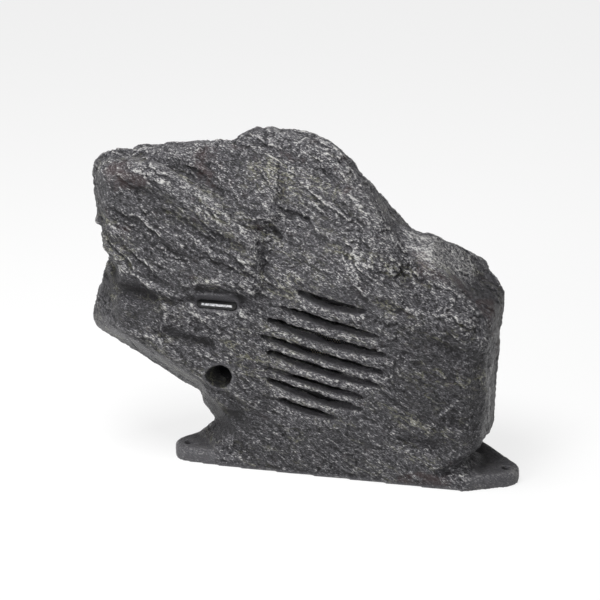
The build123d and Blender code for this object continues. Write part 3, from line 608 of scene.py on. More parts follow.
@dataclass(frozen=True)
class Stroke:
    """A line on the stone, such as a carved valley or a smooth band.

    The path gives x, y and z of each of its points in turn, in millimetres.
    """

    path: tuple[float, ...]
    width: float
    height: float = 0.0

    def ends(self) -> Array:
        """Points that the line runs through."""
        return np.array(self.path, float).reshape(-1, 3)

    def spots(self, step: float) -> list[Array]:
        """Set points along the line.

        Args:
            step: about how far apart they are.

        Returns:
            The points.
        """
        ends = self.ends()
        spots = [ends[-1]]
        for start, end in zip(ends, ends[1:]):
            count = math.ceil(np.linalg.norm(end - start) / step)
            spots += [start + (end - start) * k / count for k in range(count)]
        return spots

    def away(self, points: Array) -> Array:
        """Distance of each point from the line.

        Args:
            points: vertices in millimetres.

        Returns:
            Distances in millimetres.
        """
        ends = self.ends()
        if len(ends) == 1:
            return np.linalg.norm(points - ends[0], axis=1)
        nearest = np.full(len(points), 1e9)
        for start, end in zip(ends, ends[1:]):
            run = end - start
            share = np.clip((points - start) @ run / (run @ run), 0, 1)
            nearest = np.minimum(nearest, np.linalg.norm(points - start - share[:, None] * run, axis=1))
        return nearest

    def zone(self, points: Array, inner: float, outer: float) -> Array:
        """The line's height up to inner widths away from it, and 0 beyond outer widths."""
        return self.height * (1 - smoothstep(inner, outer, self.away(points) / self.width))

    def ridge(self, points: Array) -> Array:
        """Soft ridge along the line, or a valley where its height is below 0."""
        return self.height * np.exp(-(self.away(points) / self.width) ** 2)


Lines = tuple[Stroke, ...]


def lines(*rows: tuple[Any, ...]) -> Lines:
    """Lines from rows of path, width and height."""
    return tuple(Stroke(*row) for row in rows)


def strongest(zones: Lines, points: Array, inner: float, outer: float) -> Array:
    """The strongest of some lines' zones at each point, and 0 outside them."""
    return np.max([np.zeros(len(points)), *(line.zone(points, inner, outer) for line in zones)], axis=0)


@dataclass(frozen=True)
class SlateRelief:
    """Fine relief of the casting: flakes of slate that overlap downwards, chipped and pitted."""

    seed: int = 20
    fall: float = 31.0
    bend_mm: float = 42.0
    bend_reach: Point = (16, 8, 10)
    jag_mm: float = 9.0
    jag_reach: float = 3.0
    fold_mm: Point = (120, 36, 60)
    fold_height: float = 1.4
    pitch_drop_wander: tuple[Point, ...] = ((30.0, 1.9, 1.7), (13.0, 1.9, 1.5), (7.0, 1.0, 1.3))
    slope: float = 0.90
    scarp: float = 0.10
    chip_mm: Point = (30, 13, 17)
    grain_mm: float = 6.5
    grain_height: float = 0.8
    pit_mm: float = 4.2
    pit_depth: float = 1.6
    rough_mm: Point = (40, 20, 30)
    crinkle_mm: Point = (15, 5.2, 8)
    crumb_mm: float = 3.6
    bold_from: float = 115.0
    bold_to: float = 185.0

    def heights(self, points: Array) -> Array:
        """Find the height of the relief, where each pattern is shifted to a part of the noise of its own.

        Args:
            points: vertices in millimetres.

        Returns:
            Heights in millimetres.
        """
        noise = Noise(self.seed)
        fall = math.radians(self.fall)
        along = points[:, 0] * math.cos(fall) - points[:, 2] * math.sin(fall)
        up = points[:, 0] * math.sin(fall) + points[:, 2] * math.cos(fall)
        bend = np.stack([noise.fractal(points / self.bend_mm + k * 31.7, 3) for k in range(3)], axis=1)
        jag = np.stack([noise.fractal(points / self.jag_mm + k * 11.3, 3, 0.6) for k in range(3)], axis=1)
        bed = np.stack([along, up, points[:, 1]], axis=1) + bend * self.bend_reach + self.jag_reach * jag
        height = self.fold_height * noise.fractal(bed / self.fold_mm + 5.1, 3)
        for pitch, drop, wander in self.pitch_drop_wander:
            wave = noise.fractal(bed / (4.2 * pitch, 1.5 * pitch, 2 * pitch) + pitch, 2)
            course = -bed[:, 1] / pitch + wander * wave
            part = course - np.floor(course)
            flake = np.where(part < self.slope, part / self.slope, (1 - part) / self.scarp) - 0.5
            mask = noise.gradient(bed / (2.6 * pitch, 1.4 * pitch, 2 * pitch) + 2 * pitch)
            height += drop * flake * smoothstep(-0.25, 0.3, mask)
        index, arm = noise.cells(bed / self.chip_mm)
        chip = np.einsum("ij,ij->i", arm, noise.slopes[index])
        grain = noise.fractal(points / self.grain_mm + 70, 4, 0.66)
        pits = np.maximum(noise.gradient(points / self.pit_mm + 90) - 0.25, 0)
        rough = smoothstep(-0.25, 0.45, noise.fractal(bed / self.rough_mm + 44, 2))
        crumbs = 0.5 * np.abs(noise.gradient(points / self.crumb_mm + 55))
        crinkle = 0.3 - np.abs(noise.gradient(bed / self.crinkle_mm + 33)) - crumbs
        bold = 0.45 + 0.55 * smoothstep(self.bold_from, self.bold_to, points[:, 2])
        fine = self.grain_height * grain - self.pit_depth * pits + (0.5 + 1.3 * rough) * crinkle
        return bold * (height + chip) + fine


@dataclass
class RockShell:
    """The boulder: the casting's own mesh, remeshed finely and carved into stone."""

    wash: StoneWash = field(default_factory=StoneWash)
    relief: SlateRelief = field(default_factory=SlateRelief)
    voxel_mm: float = 1.7
    quick_coarser: float = 1.6
    target_faces: int = 190000
    wear_turns: int = 10
    fill_turns: int = 70
    thin_pull: float = 10.0
    calm_share: float = 0.9
    # Grey value of the coat, darker in hollows and lighter on ridges: partly wash and dry brush, partly
    # painted shade and highlights.
    shade_base: float = 0.342
    shade_broad: float = 0.14
    shade_fine: float = 0.38
    front: Seat = Seat(-3.0, 0.0, (-18.6, -23.8, 123.0))
    field_radius: float = 74.0
    port: Seat = Seat(-26.0, -18.0, (-115.8, -22.7, 92.1))
    gland: Point = (67.0, 99.6, 64.4)
    anchor_x: float = 150.0
    sill_depth: Pair = (0.8, 4.5)
    sill_end: float = 17.0
    port_radius: float = 11.4
    port_edge: float = 12.3
    port_lip: float = 16.0
    port_depth: float = 40.0
    pill_half: float = 15.0
    pill_edge: Pair = (4.9, 7.2)
    pill_depth: float = 9.0
    anchor_edge: Pair = (5.0, 9.0)
    anchor_top: float = 25.0
    ear_inner: Pair = (112.0, 124.0)
    ear_top: Pair = (14.0, 22.0)
    ear_calm: float = 0.75
    foot: Pair = (0.6, 4.0)
    gland_edge: Pair = (12.5, 17.0)
    # Way that faces are painted lighter towards: painted light from above and the right.
    painted_light_way: Seat = Seat(40.0, 50.0)
    rear: Seat = Seat(190.0, -20.0)
    strokes: Lines = lines(
        ((-206, 32, 289, -171, 15, 287, -142, 12, 278, -112, 2, 264, -86, -5, 252), 9.0, -3.2),
        ((-225, 5, 279, -188, -8, 282, -151, -9, 272, -119, -7, 256, -97, -6, 245), 9.0, 2.6),
        ((58, -24, 172, 79, -24, 169, 104, -27, 167), 3.0, 1.8),
        ((-233, 5, 190, -219, -8, 188), 10.0, -5.5),
        ((-131, -23, 177, -112, -24, 178, -95, -21, 172), 6.0, -3.4),
        ((-146, -22, 181, -126, -23, 186, -116, -24, 187, -102, -24, 179, -82, -26, 180), 2.6, 1.6),
        ((-207, -14, 190, -193, -16, 185, -181, -18, 180, -154, -20, 170, -138, -21, 161), 3.5, 2.2),
        ((-181, -18, 178, -169, -18, 165, -164, -21, 156, -164, -22, 143), 3.0, 1.6),
        ((-206, -10, 170, -182, -16, 162, -190, -19, 150), 12.0, -2.4),
        ((-163, -22, 136, -142, -19, 130, -122, -21, 126), 5.0, -2.2),
        ((-225, -3, 138, -209, -19, 136, -188, -22, 130, -163, -21, 125), 3.0, 1.2),
        ((-123, -5, 54, -101, -16, 53), 13.0, -2.2),
        ((40, -27, 90, 53, -28, 80, 65, -28, 69), 2.2, -1.3),
        ((107, -30, 91, 90, -30, 73), 2.2, 1.3),
        ((59, -27, 46, 73, -26, 41, 90, -30, 47), 6.0, -1.8),
        ((-187, -22, 131, -186, -19, 118, -180, -10, 107), 2.2, -1.4),
        ((-205, -13, 123, -203, 4, 107), 2.2, -1.2),
        ((-174, -22, 133, -152, -22, 115, -146, -22, 104), 2.2, -1.3),
    )
    beads: Lines = lines(
        ((-232.5, 10, 227, -233.5, 42, 227), 4.5),
        ((-232.5, 12, 234, -235, 50, 234), 5.0),
        ((-234, 18, 241, -236.5, 52, 241), 5.0),
        ((-235.5, 44, 248, -235.5, 52, 249), 5.0),
        ((-188, 9, 281.5, -180, 9.5, 280, -172, 8.5, 278, -164, 7, 273.5, -156, 5, 269), 5.0),
        ((-89, -1, 245, -79, -1, 246, -72, 0, 247, -65, 2, 247), 6.0),
        ((-85, -3, 236, -76, -3, 236, -68, -2, 240), 4.5),
    )
    filled: Lines = lines(
        ((-86, -4, 240, -74, -4, 241, -64, -2, 246), 17.0, 1.0),
        ((52, -8, 203, 58, -4, 200), 15.0, 1.0),
        ((-132, 23, 288), 12.0, 0.6),
    )
    rubbed: Lines = lines(
        ((-212, -8, 172, -184, -17, 160, -200, -22, 148), 18.0, 0.75),
        ((-235, 7, 124, -203, -7, 115, -170, -4, 94, -140, -4, 75), 15.0, 0.8),
        ((-154, -19, 163, -137, -21, 160), 6.0, 0.8),
        ((-95, -20, 168, -80, -21, 166), 6.0, 0.8),
        ((-118, -10, 46), 26.0, 0.75),
        ((24, 34, 255, 49, 10, 232, 75, 2, 210, 120, 12, 180), 9.0, 0.85),
        ((128, 15, 176, 134, 22, 166), 12.0, 0.6),
    )
    rusty: Lines = lines(
        ((-212, 0, 284, -190, -8, 274), 20.0, 0.9),
        ((-135, 22, 292, -128, 10, 282), 18.0, 0.9),
        ((-9, 13, 274), 18.0, 0.5),
        ((128, 0, 168, 136, 40, 120), 26.0, 0.9),
        ((60, -29, 8, 95, -27, 8), 12.0, 0.9),
        ((60, -2, 214, 110, 5, 182), 14.0, 0.6),
    )
    # Zones painted lighter above 0 and darker below 0. Most are painted light and shade: lighter on the
    # shoulder top, the ledge, the chin's underside and a streak along the right edge, darker on the right
    # side, on the neck under the head and along the valleys. On the crown it is partly heavier dry brushing.
    painted_light_and_brush: Lines = lines(
        ((-48, 29, 304, -20, 22, 293, 10, 8, 262, 36, 4, 235), 34.0, 0.05),
        ((73, 15, 221, 99, 32, 198), 30.0, 0.24),
        ((-225, 3, 167, -200, -11, 168, -179, -20, 159, -202, -22, 148), 20.0, -0.16),
        ((-235, 7, 127, -203, -7, 117, -170, -4, 96), 14.0, 0.07),
        ((-155, -22, 151, -122, -22, 151, -90, -22, 155), 9.0, 0.10),
        ((-131, -23, 175, -95, -21, 171), 8.0, -0.12),
        ((-123, -5, 54, -101, -16, 53, -91, -20, 45), 16.0, -0.14),
        ((-163, -22, 134, -142, -19, 128, -122, -21, 124), 8.0, -0.10),
        ((95, -30, 130, 112, -28, 70), 50.0, -0.11),
        ((10, -16, 212), 16.0, 0.16),
        ((131, 10, 112, 132, 16, 80, 130, 22, 48), 5.0, 0.42),
        ((138, 24, 165, 141, 55, 120, 139, 50, 45), 46.0, -0.26),
    )

    def build(self) -> Object:
        """Carve the boulder.

        Returns:
            The finished piece.
        """
        source = frame["nodes"]["rock_shell"]
        size = self.voxel_mm * 1.0
        mesh = voxel_mesh("rock_relief", self.closed(source.data.copy()), size)
        data = MeshData(mesh)
        outside = self.outside(data)
        calm = self.calm(data.points)
        self.wear(data, outside * (1 - calm))
        way = data.blurred(data.normals(), 6)
        way /= np.linalg.norm(way, axis=1, keepdims=True).clip(1e-6)
        moved = self.carving(data.points) * outside * (1 - self.calm_share * calm)
        data.points = data.points + way * moved[:, None]
        data.store()
        # The coat is darker in the hollows and lighter on the ridges: partly the casting's wash and dry
        # brush, partly painted shade and painted highlights.
        broad, fine = (
            np.einsum("ij,ij->i", data.points - data.blurred(data.points, rounds), way) for rounds in (20, 3)
        )
        shade = self.shade_base + self.shade_broad * broad + self.shade_fine * fine
        shade = shade + self.brush_and_painted_light(data.points, way)
        # In the port's bore the coat takes its darkest colour and none of the lighter grey: painted shade
        # deep in the hole.
        clear_of_bore_shade = 1 - self.bore(data.points, self.port_edge)
        data.keep("relief", np.clip(shade, 0, 1) * clear_of_bore_shade)
        data.keep("calm", calm * outside * clear_of_bore_shade)
        data.keep("stain", strongest(self.rusty, data.points, 0.2, 1.1))
        piece = self.thinned(mesh, data, outside)
        smooth_in(piece.data, self.wash.material())
        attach(piece, BODY)
        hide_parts("rock_shell")
        return piece

    def closed(self, mesh: Mesh) -> Mesh:
        """Close the clefts between the lobes, with rows of beads that lie in the wall.

        Args:
            mesh: a copy of the casting.

        Returns:
            The same mesh with the beads in it, for the remeshing to fuse.
        """
        body = bmesh.new()
        body.from_mesh(mesh)
        for row in self.beads:
            for spot in row.spots(row.width / 2):
                place = Matrix.Translation(Vector(spot) * MM)
                bmesh.ops.create_icosphere(body, subdivisions=2, radius=row.width * MM, matrix=place)
        body.to_mesh(mesh)
        body.free()
        return mesh

    def outside(self, data: MeshData) -> Array:
        """Tell the outer skin from the cavity.

        Args:
            data: the remeshed casting.

        Returns:
            1 on the skin, 0 in the cavity, with a soft change between them.
        """
        others = [node.data for name, node in frame["nodes"].items() if name != "rock_shell"]
        points, faces = [], []
        for mesh in (*others, data.mesh):
            start = len(points)
            points.extend(v.co.copy() for v in mesh.vertices)
            faces.extend([start + i for i in p.vertices] for p in mesh.polygons)
        tree = BVHTree.FromPolygons(points, faces)
        normals = data.normals()
        seen = np.zeros(len(data.points))
        tilts = [(0, 0, 0), (0, -1, 0), (0, 1, 0), (1, 0, 0), (-1, 0, 0), (0, 0, 1), (0, 0, -1)]
        for i, (point, normal) in enumerate(zip(data.points * MM, normals)):
            start_point = Vector(point + normal * 0.4 * MM)
            for tilt in tilts:
                way = Vector(normal) + 0.8 * Vector(tilt)
                if way.length > 0.1 and tree.ray_cast(start_point, way.normalized(), 2.0)[0] is None:
                    seen[i] = 1.0
                    break
        return smoothstep(0.35, 0.75, data.blurred(seen, 6))

    def calm(self, points: Array) -> Array:
        """Where the mould is smooth: sills, holes, recesses, the ears and the underside.

        Args:
            points: vertices in millimetres.

        Returns:
            1 where nothing is carved, 0 in open stone.
        """
        out = self.front.out()
        arm = points - np.array(self.front.place)
        depth = -(arm @ out)
        across = np.linalg.norm(arm + depth[:, None] * out, axis=1)
        louvres = smoothstep(*self.sill_depth, depth) * (depth < self.sill_end)
        louvres *= 1 - smoothstep(self.field_radius - 4, self.field_radius, across)
        port = self.bore(points, self.port_lip)
        plate = points - np.array(BADGE.place)
        level, up, normal = BADGE.axes()
        pill = np.hypot(np.maximum(np.abs(plate @ level) - self.pill_half, 0), plate @ up)
        badge = (1 - smoothstep(*self.pill_edge, pill)) * (np.abs(plate @ normal) < self.pill_depth)
        x, y, z = points.T
        holes = [np.hypot(x - side * self.anchor_x, y) for side in (-1, 1)]
        anchors = (1 - smoothstep(*self.anchor_edge, np.minimum(*holes))) * (z < self.anchor_top)
        ears = self.ear_calm * smoothstep(*self.ear_inner, np.abs(x)) * (1 - smoothstep(*self.ear_top, z))
        under = 1 - smoothstep(*self.foot, z)
        seat = 1 - smoothstep(*self.gland_edge, np.linalg.norm(points - np.array(self.gland), axis=1))
        return np.max([louvres, port, badge, anchors, ears, under, seat], axis=0)

    def bore(self, points: Array, reach: float) -> Array:
        """Tell the port's bore from the stone around it.

        Args:
            points: vertices in millimetres.
            reach: distance from the port's axis at which the stone begins.

        Returns:
            1 on the bore, 0 in the stone.
        """
        arm = points - np.array(self.port.place)
        axis = self.port.out()
        aside = np.linalg.norm(arm - (arm @ axis)[:, None] * axis, axis=1)
        return (1 - smoothstep(self.port_radius, reach, aside)) * (np.abs(arm @ axis) < self.port_depth)

    def wear(self, data: MeshData, amount: Array) -> None:
        """Soften the casting's ridges.

        Args:
            data: the mesh to soften.
            amount: how much each vertex takes part.
        """
        filled = strongest(self.filled, data.points, 0.5, 1.0)
        for turn in range(self.fill_turns):
            part = 0.5 * amount * (1.0 if turn < self.wear_turns else filled)
            data.points += part[:, None] * (data.around(data.points) - data.points)
        data.store()

    def carving(self, points: Array) -> Array:
        """Heights of the fine relief, rubbed down in places, with the ridges and valleys added to it."""
        height = self.relief.heights(points) * (1 - strongest(self.rubbed, points, 0.6, 1.2))
        return sum((line.ridge(points) for line in self.strokes), height)

    def brush_and_painted_light(self, points: Array, way: Array) -> Array:
        """Painted light by the way each face turns, lighter up and to the right and about 0 on the plain
        front, with the painted zones added.
        """
        plain = 0.16 * (smoothstep(0.1, 0.9, way @ self.painted_light_way.out()) - 0.3)
        return sum((line.zone(points, 0.3, 1.1) for line in self.painted_light_and_brush), plain)

    def thinned(self, mesh: Mesh, data: MeshData, outside: Array) -> Object:
        """Thin out the cavity and the back, and keep the front fine.

        Args:
            mesh: the carved mesh.
            data: its arrays.
            outside: 1 on the skin, 0 in the cavity.

        Returns:
            The piece in the scene.
        """
        piece = linked_object("rock_relief", mesh)
        rear = smoothstep(0.1, 0.5, data.normals() @ self.rear.out())
        weight = np.maximum(1 - outside, 0.45 * rear)
        group = piece.vertex_groups.new(name="thin")
        levels = np.round(weight * 10).astype(int)
        for level in range(11):
            group.add(np.nonzero(levels == level)[0].tolist(), level / 10, "REPLACE")
        share = min(1.0, self.target_faces / sum(len(polygon.vertices) - 2 for polygon in mesh.polygons))
        settings = {"ratio": share, "vertex_group": group.name, "vertex_group_factor": self.thin_pull}
        fine = modified(piece, "rock_relief_thinned", "DECIMATE", settings)
        piece.vertex_groups.clear()
        piece.data = fine
        return piece


@dataclass
class FrontScreen:
    """Fine perforated sheet behind the louvres."""

    seat: Seat = DRIVER
    near: float = 14.0
    thickness: float = 0.8
    radius: float = 71.0
    pitch: float = 2.3
    hole: float = 1.5
    # Black with a soft sheen, in which the holes show as darker dots.
    finish: Finish = Finish("steel_sheet_perforated_black_coated", "#0d0d0e", "#1b1b1d", 0.5, 0.8, 0.05)

    def build(self) -> Object:
        """Punch the sheet.

        Returns:
            The finished piece.
        """
        step = self.pitch * math.sqrt(3) / 2
        rows = int(self.radius / step)
        columns = int(self.radius / self.pitch) + 1
        points: list[Vector] = []
        faces: list[tuple[int, ...]] = []
        outer_size = self.pitch / math.sqrt(3)
        axes = self.seat.matrix()
        turns = [math.radians(30 + 60 * k) for k in range(6)]
        for row in range(-rows, rows + 1):
            for column in range(-columns, columns + 1):
                x, y = (column + 0.5 * (row % 2)) * self.pitch, row * step
                if math.hypot(x, y) > self.radius - self.pitch:
                    continue
                start = len(points)
                for depth in (self.near, self.near + self.thickness):
                    for size in (outer_size, self.hole / 2):
                        for turn in turns:
                            corner = (x + size * math.cos(turn), y + size * math.sin(turn), -depth)
                            points.append(axes @ (Vector(corner) * MM))
                for k in range(6):
                    n = (k + 1) % 6
                    outer, inner, under, lower = start, start + 6, start + 12, start + 18
                    faces.append((outer + k, outer + n, inner + n, inner + k))
                    faces.append((inner + k, inner + n, lower + n, lower + k))
                    faces.append((under + n, under + k, lower + k, lower + n))
        mesh = bpy.data.meshes.new("front_screen")
        mesh.from_pydata(points, [], faces)
        mesh.materials.append(self.finish.material())
        piece = linked_object("front_screen", mesh)
        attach(piece, BODY)
        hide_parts("grille_screen")
        return piece


@dataclass
class Suspension:
    """The rubber surround and the cotton spider, which bend as the cone moves."""

    seat: Seat = DRIVER
    sectors: int = 12
    sector_steps: int = 4
    skin: float = 0.6
    roll_reach: Pair = (46.4, 54.5)
    roll_middle: float = 50.45
    roll_half: float = 4.05
    roll_rise: float = 4.8
    roll_depth: float = 19.8
    cone_lip: Pair = (44.1, 20.6)
    rim_lip: Pair = (57.95, 19.0)
    coil_radius: float = 13.05
    wave_reach: Pair = (14.0, 31.0)
    wave_count: int = 3
    wave_steps: int = 36
    wave_rise: float = 0.6
    wave_depth: float = 39.4
    spider_lip: Pair = (36.4, 40.0)
    # Black and half matt, with a smooth skin.
    rubber: Finish = Finish("butyl_rubber_moulded", "#0b0b0c", "#141415", 0.55, 2.0, 0.05)
    # Amber cloth with its weave in view.
    cotton: Finish = Finish("cotton_weave_resin_dipped", "#7a5a22", "#b08a45", 0.75, 0.8, 0.12, Surface.WOVEN)

    def build(self) -> list[Object]:
        """Make both rings, each in sectors."""
        surround = self.ring("surround", self.roll(), self.rubber)
        return surround + self.ring("spider", self.waves(), self.cotton)

    def roll(self) -> Outline:
        """Draw the back of the surround: an inner lip, a half roll turned inwards and an outer lip.

        Returns:
            Radius and depth of each point, in millimetres.
        """
        arc = []
        for degrees in range(15, 180, 15):
            angle = math.radians(degrees)
            radius = self.roll_middle - self.roll_half * math.cos(angle)
            arc.append((radius, self.roll_depth + self.roll_rise * math.sin(angle)))
        inner, outer = zip(self.roll_reach, (self.cone_lip[1], self.rim_lip[1]))
        return [self.cone_lip, inner, *arc, outer, self.rim_lip]

    def waves(self) -> Outline:
        """Draw the back of the spider: soft waves between the coil and its seat.

        Returns:
            Radius and depth of each point, in millimetres.
        """
        back = []
        for k in range(self.wave_steps + 1):
            share = k / self.wave_steps
            radius = self.coil_radius + share * (self.wave_reach[1] - self.coil_radius)
            turn = share * 2 * self.wave_count * math.pi
            back.append((radius, self.wave_depth + self.wave_rise * math.cos(turn)))
        return back + [self.spider_lip]

    def sector(self, name: str, profile: Outline, first: float) -> Mesh:
        """Turn one sector of a ring.

        Args:
            name: name for the mesh.
            profile: closed outline of radius and depth, in millimetres.
            first: angle at which the sector starts, in degrees.

        Returns:
            A closed mesh.
        """
        axes, count, steps = self.seat.matrix(), len(profile), self.sector_steps
        points, faces = [], []
        for step in range(steps + 1):
            angle = math.radians(first + 360 / self.sectors * step / steps)
            for radius, depth in profile:
                local = Vector((radius * math.cos(angle), radius * math.sin(angle), -depth)) * MM
                points.append(axes @ local)
        for step in range(steps):
            for k in range(count):
                a, b = step * count + k, step * count + (k + 1) % count
                faces.append((a, b, b + count, a + count))
        faces.append(tuple(range(count - 1, -1, -1)))
        faces.append(tuple(range(steps * count, (steps + 1) * count)))
        mesh = bpy.data.meshes.new(name)
        mesh.from_pydata(points, [], faces)
        mesh.update()
        return mesh

    def ring(self, node: str, back: Outline, finish: Finish) -> list[Object]:
        """Turn one ring in sectors.

        Args:
            node: the CAD node that the ring stands for.
            back: outline of its back in millimetres.
            finish: its material.

        Returns:
            The sectors.
        """
        axes, material = self.seat.matrix(), finish.material()
        profile = back + [(radius, depth - self.skin) for radius, depth in reversed(back)]
        span = 360 / self.sectors
        made = []
        for k in range(self.sectors):
            name = f"{node}_{k:02d}"
            mesh = self.sector(name, profile, k * span)
            smooth_in(mesh, material)
            piece = linked_object(name, mesh)
            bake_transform(piece)
            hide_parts(node)
            made.append(piece)
        return made


@dataclass
class WaddingPad:
    """The wadding on the back wall: a soft pad with rounded cut edges and an uneven loft."""

    # Off-white and matt, in loose fibres.
    finish: Finish = Finish("polyester_wadding_carded", "#cfcdc6", "#efeee9", 0.95, 1.2, 0.5, Surface.FIBROUS)
    voxel_mm: float = 2.2
    tuft_mm: float = 14.0
    loft_mm: float = 1.8
    rounding: int = 12
    fill: float = 0.5
    seed: int = 7

    def build(self) -> Object:
        """Soften the plain pad, inside its own size.

        Returns:
            The finished piece.
        """
        mesh = voxel_mesh("wadding_pad", frame["nodes"]["damping_pad"].data.copy(), self.voxel_mm)
        data = MeshData(mesh)
        data.points = data.blurred(data.points, self.rounding)
        data.store()
        sunk = 0.5 - 0.5 * Noise(self.seed).fractal(data.points / self.tuft_mm, 4, 0.6)
        data.points = data.points - data.normals() * (self.loft_mm * sunk)[:, None]
        data.store()
        smooth_in(mesh, self.finish.material())
        piece = linked_object("wadding_pad", mesh)
        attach(piece, BODY)
        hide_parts("damping_pad")
        return piece


@dataclass(frozen=True)
class BadgePlate:
    """The bare badge: a dark coated plate with a plain satin band along its middle."""

    half_band: float = 1.25
    half_length: float = 14.6
    band_drop: float = 0.5
    soft_edge: float = 0.3
    worn_mm: float = 2.4
    plate: str = "#121213"
    worn: str = "#3c3c3e"
    bright: str = "#a0a0a2"
    shine: float = 0.12
    metallic: float = 0.8

    def dress(self) -> None:
        """Give the plate its material."""
        material, tree = new_material("aluminium_sheet_coated_satin_band")
        place = add_node(tree, "TexCoord").outputs["Object"]
        level, rise, _ = BADGE.axes()
        middle = tuple((np.array(BADGE.place) - self.band_drop * rise) * MM)
        arm = add_node(tree, "VectorMath", {"operation": "SUBTRACT", 0: place, 1: middle})
        inside = []
        for way, half in ((level, self.half_length), (rise, self.half_band)):
            reach = add_node(tree, "VectorMath", {"operation": "DOT_PRODUCT", 0: arm, 1: tuple(way)})
            size = add_node(tree, "Math", {"operation": "ABSOLUTE", 0: reach.outputs["Value"]})
            inside.append(add_node(tree, "MapRange", {
                "Value": size,
                "From Min": (half - self.soft_edge) * MM,
                "From Max": half * MM,
                "To Min": 1.0,
                "To Max": 0.0,
            }))
        band = add_node(tree, "Math", {"operation": "MULTIPLY", 0: inside[0], 1: inside[1]})
        wear = {"Vector": place, "Scale": scale_of(self.worn_mm), "Detail": 3.0}
        brushed = add_node(tree, "TexNoise", wear)
        stops = [(0.36, linear(self.worn)), (0.62, linear(self.bright))]
        silver = add_node(tree, "ValToRGB", {"ramp": stops, 0: brushed})
        coats = {"data_type": "RGBA", 0: band, 6: linear(self.plate), 7: silver}
        shader = add_node(tree, "BsdfPrincipled", {
            "Base Color": add_node(tree, "Mix", coats).outputs[2],
            "Specular IOR Level": self.shine,
            "Metallic": add_node(tree, "Math", {"operation": "MULTIPLY", 0: band, 1: self.metallic}),
            "Roughness": add_node(tree, "MapRange", {"Value": brushed, "To Min": 0.3, "To Max": 0.5}),
        })
        add_node(tree, "OutputMaterial", {"Surface": shader})
        dress_node("badge_plate", material)


def dress_node(name: str, material: Material) -> None:
    """Give a carried-over node its material.

    Args:
        name: the node's name.
        material: its only material.
    """
    node = frame["nodes"][name]
    if not node.material_slots:
        node.data.materials.append(material)
    for slot in node.material_slots:
        slot.material = material


@dataclass
class PlainParts:
    """The pieces that are carried over as they are, each in the finish of its slot."""

    finishes: dict[str, Finish] = field(default_factory=lambda: {
        # Dull black, with a fine cellular face.
        "closed_cell_foam": Finish("foam_closed_cell_die_cut", "#101011", "#1d1d1f", 0.9, 0.7, 0.15),
        # Black with a soft sheen and a faint orange peel.
        "black_coated_steel": Finish("steel_pressed_black_coated", "#0f0f10", "#1c1c1e", 0.45, 0.9, 0.04),
        # Bright grey metal, slightly cloudy.
        "zinc_plated_steel": Finish("steel_zinc_plated", "#a9a9a4", "#c6c5be", 0.35, 3.0, 0.02, metallic=1.0),
        # Dark grey and matt, with a stony grain.
        "ferrite": Finish("ferrite_sintered_ground", "#242427", "#3a3a3e", 0.6, 1.5, 0.05),
        # Bright metal with fine lines along the foil.
        "former_aluminium": Finish(
            "aluminium_foil_rolled", "#b9bcc0", "#d5d7d9", 0.3, 1.2, 0.01, Surface.BRUSHED, 1.0),
        # Warm brown metal in fine lines, drawn coarser than the real wire so that they show.
        "enamelled_copper": Finish(
            "copper_wire_enamelled_wound", "#7c3a14", "#c4743a", 0.32, 0.5, 0.15, Surface.BRUSHED, 0.9),
        # Black with a smooth low gloss.
        "moulded_polypropylene": Finish("polypropylene_moulded_thin", "#0e0e10", "#1a1a1d", 0.42, 2.5, 0.04),
        # Black and half matt, with a fine moulded grain.
        "black_nylon": Finish("nylon_moulded_black", "#121213", "#1e1e20", 0.5, 1.0, 0.06),
        # Tan with a clear gloss.
        "coated_film": Finish("film_formed_coated", "#8c7a5c", "#b7a684", 0.3, 1.5, 0.02),
        # Dark red with an even sheen.
        "lead_insulation": Finish("wire_insulation_extruded", "#6e0f12", "#8c1a1d", 0.45, 2.0, 0.02),
        # Near black, with an even grain that breaks up the shine.
        "abs_cover": Finish("abs_moulded_fine_texture", "#161617", "#252527", 0.62, 0.9, 0.10),
        # Dull black, slightly pebbled.
        "neoprene": Finish("neoprene_sheet_die_cut", "#0e0e0f", "#191919", 0.8, 0.8, 0.06),
        # Yellow metal with fine turned lines.
        "brass_turned": Finish(
            "brass_turned_knurled", "#a07a32", "#cba455", 0.35, 0.6, 0.08, Surface.BRUSHED, 1.0),
        # Glossy green over a weave, drawn coarser than the real one so that it shows.
        "glass_fibre_laminate": Finish(
            "laminate_solder_masked", "#12381f", "#1d5530", 0.4, 1.1, 0.03, Surface.WOVEN),
        # Yellow with a smooth shine.
        "film_capacitor_wrap": Finish("film_capacitor_taped", "#b58a1c", "#d4aa38", 0.35, 4.0, 0.02),
        # Green and half matt.
        "terminal_polyamide": Finish("polyamide_moulded_green", "#1b4a2a", "#28653b", 0.5, 1.0, 0.05),
    })

    def dress(self) -> int:
        """Give every carried-over node its finish.

        Returns:
            The number of nodes dressed.
        """
        made = {slot: finish.material() for slot, finish in self.finishes.items()}
        dressed = [entry for entry in frame["record"]["subparts"] if entry["material_slot"] in made]
        for entry in dressed:
            dress_node(entry["node"], made[entry["material_slot"]])
        return len(dressed)


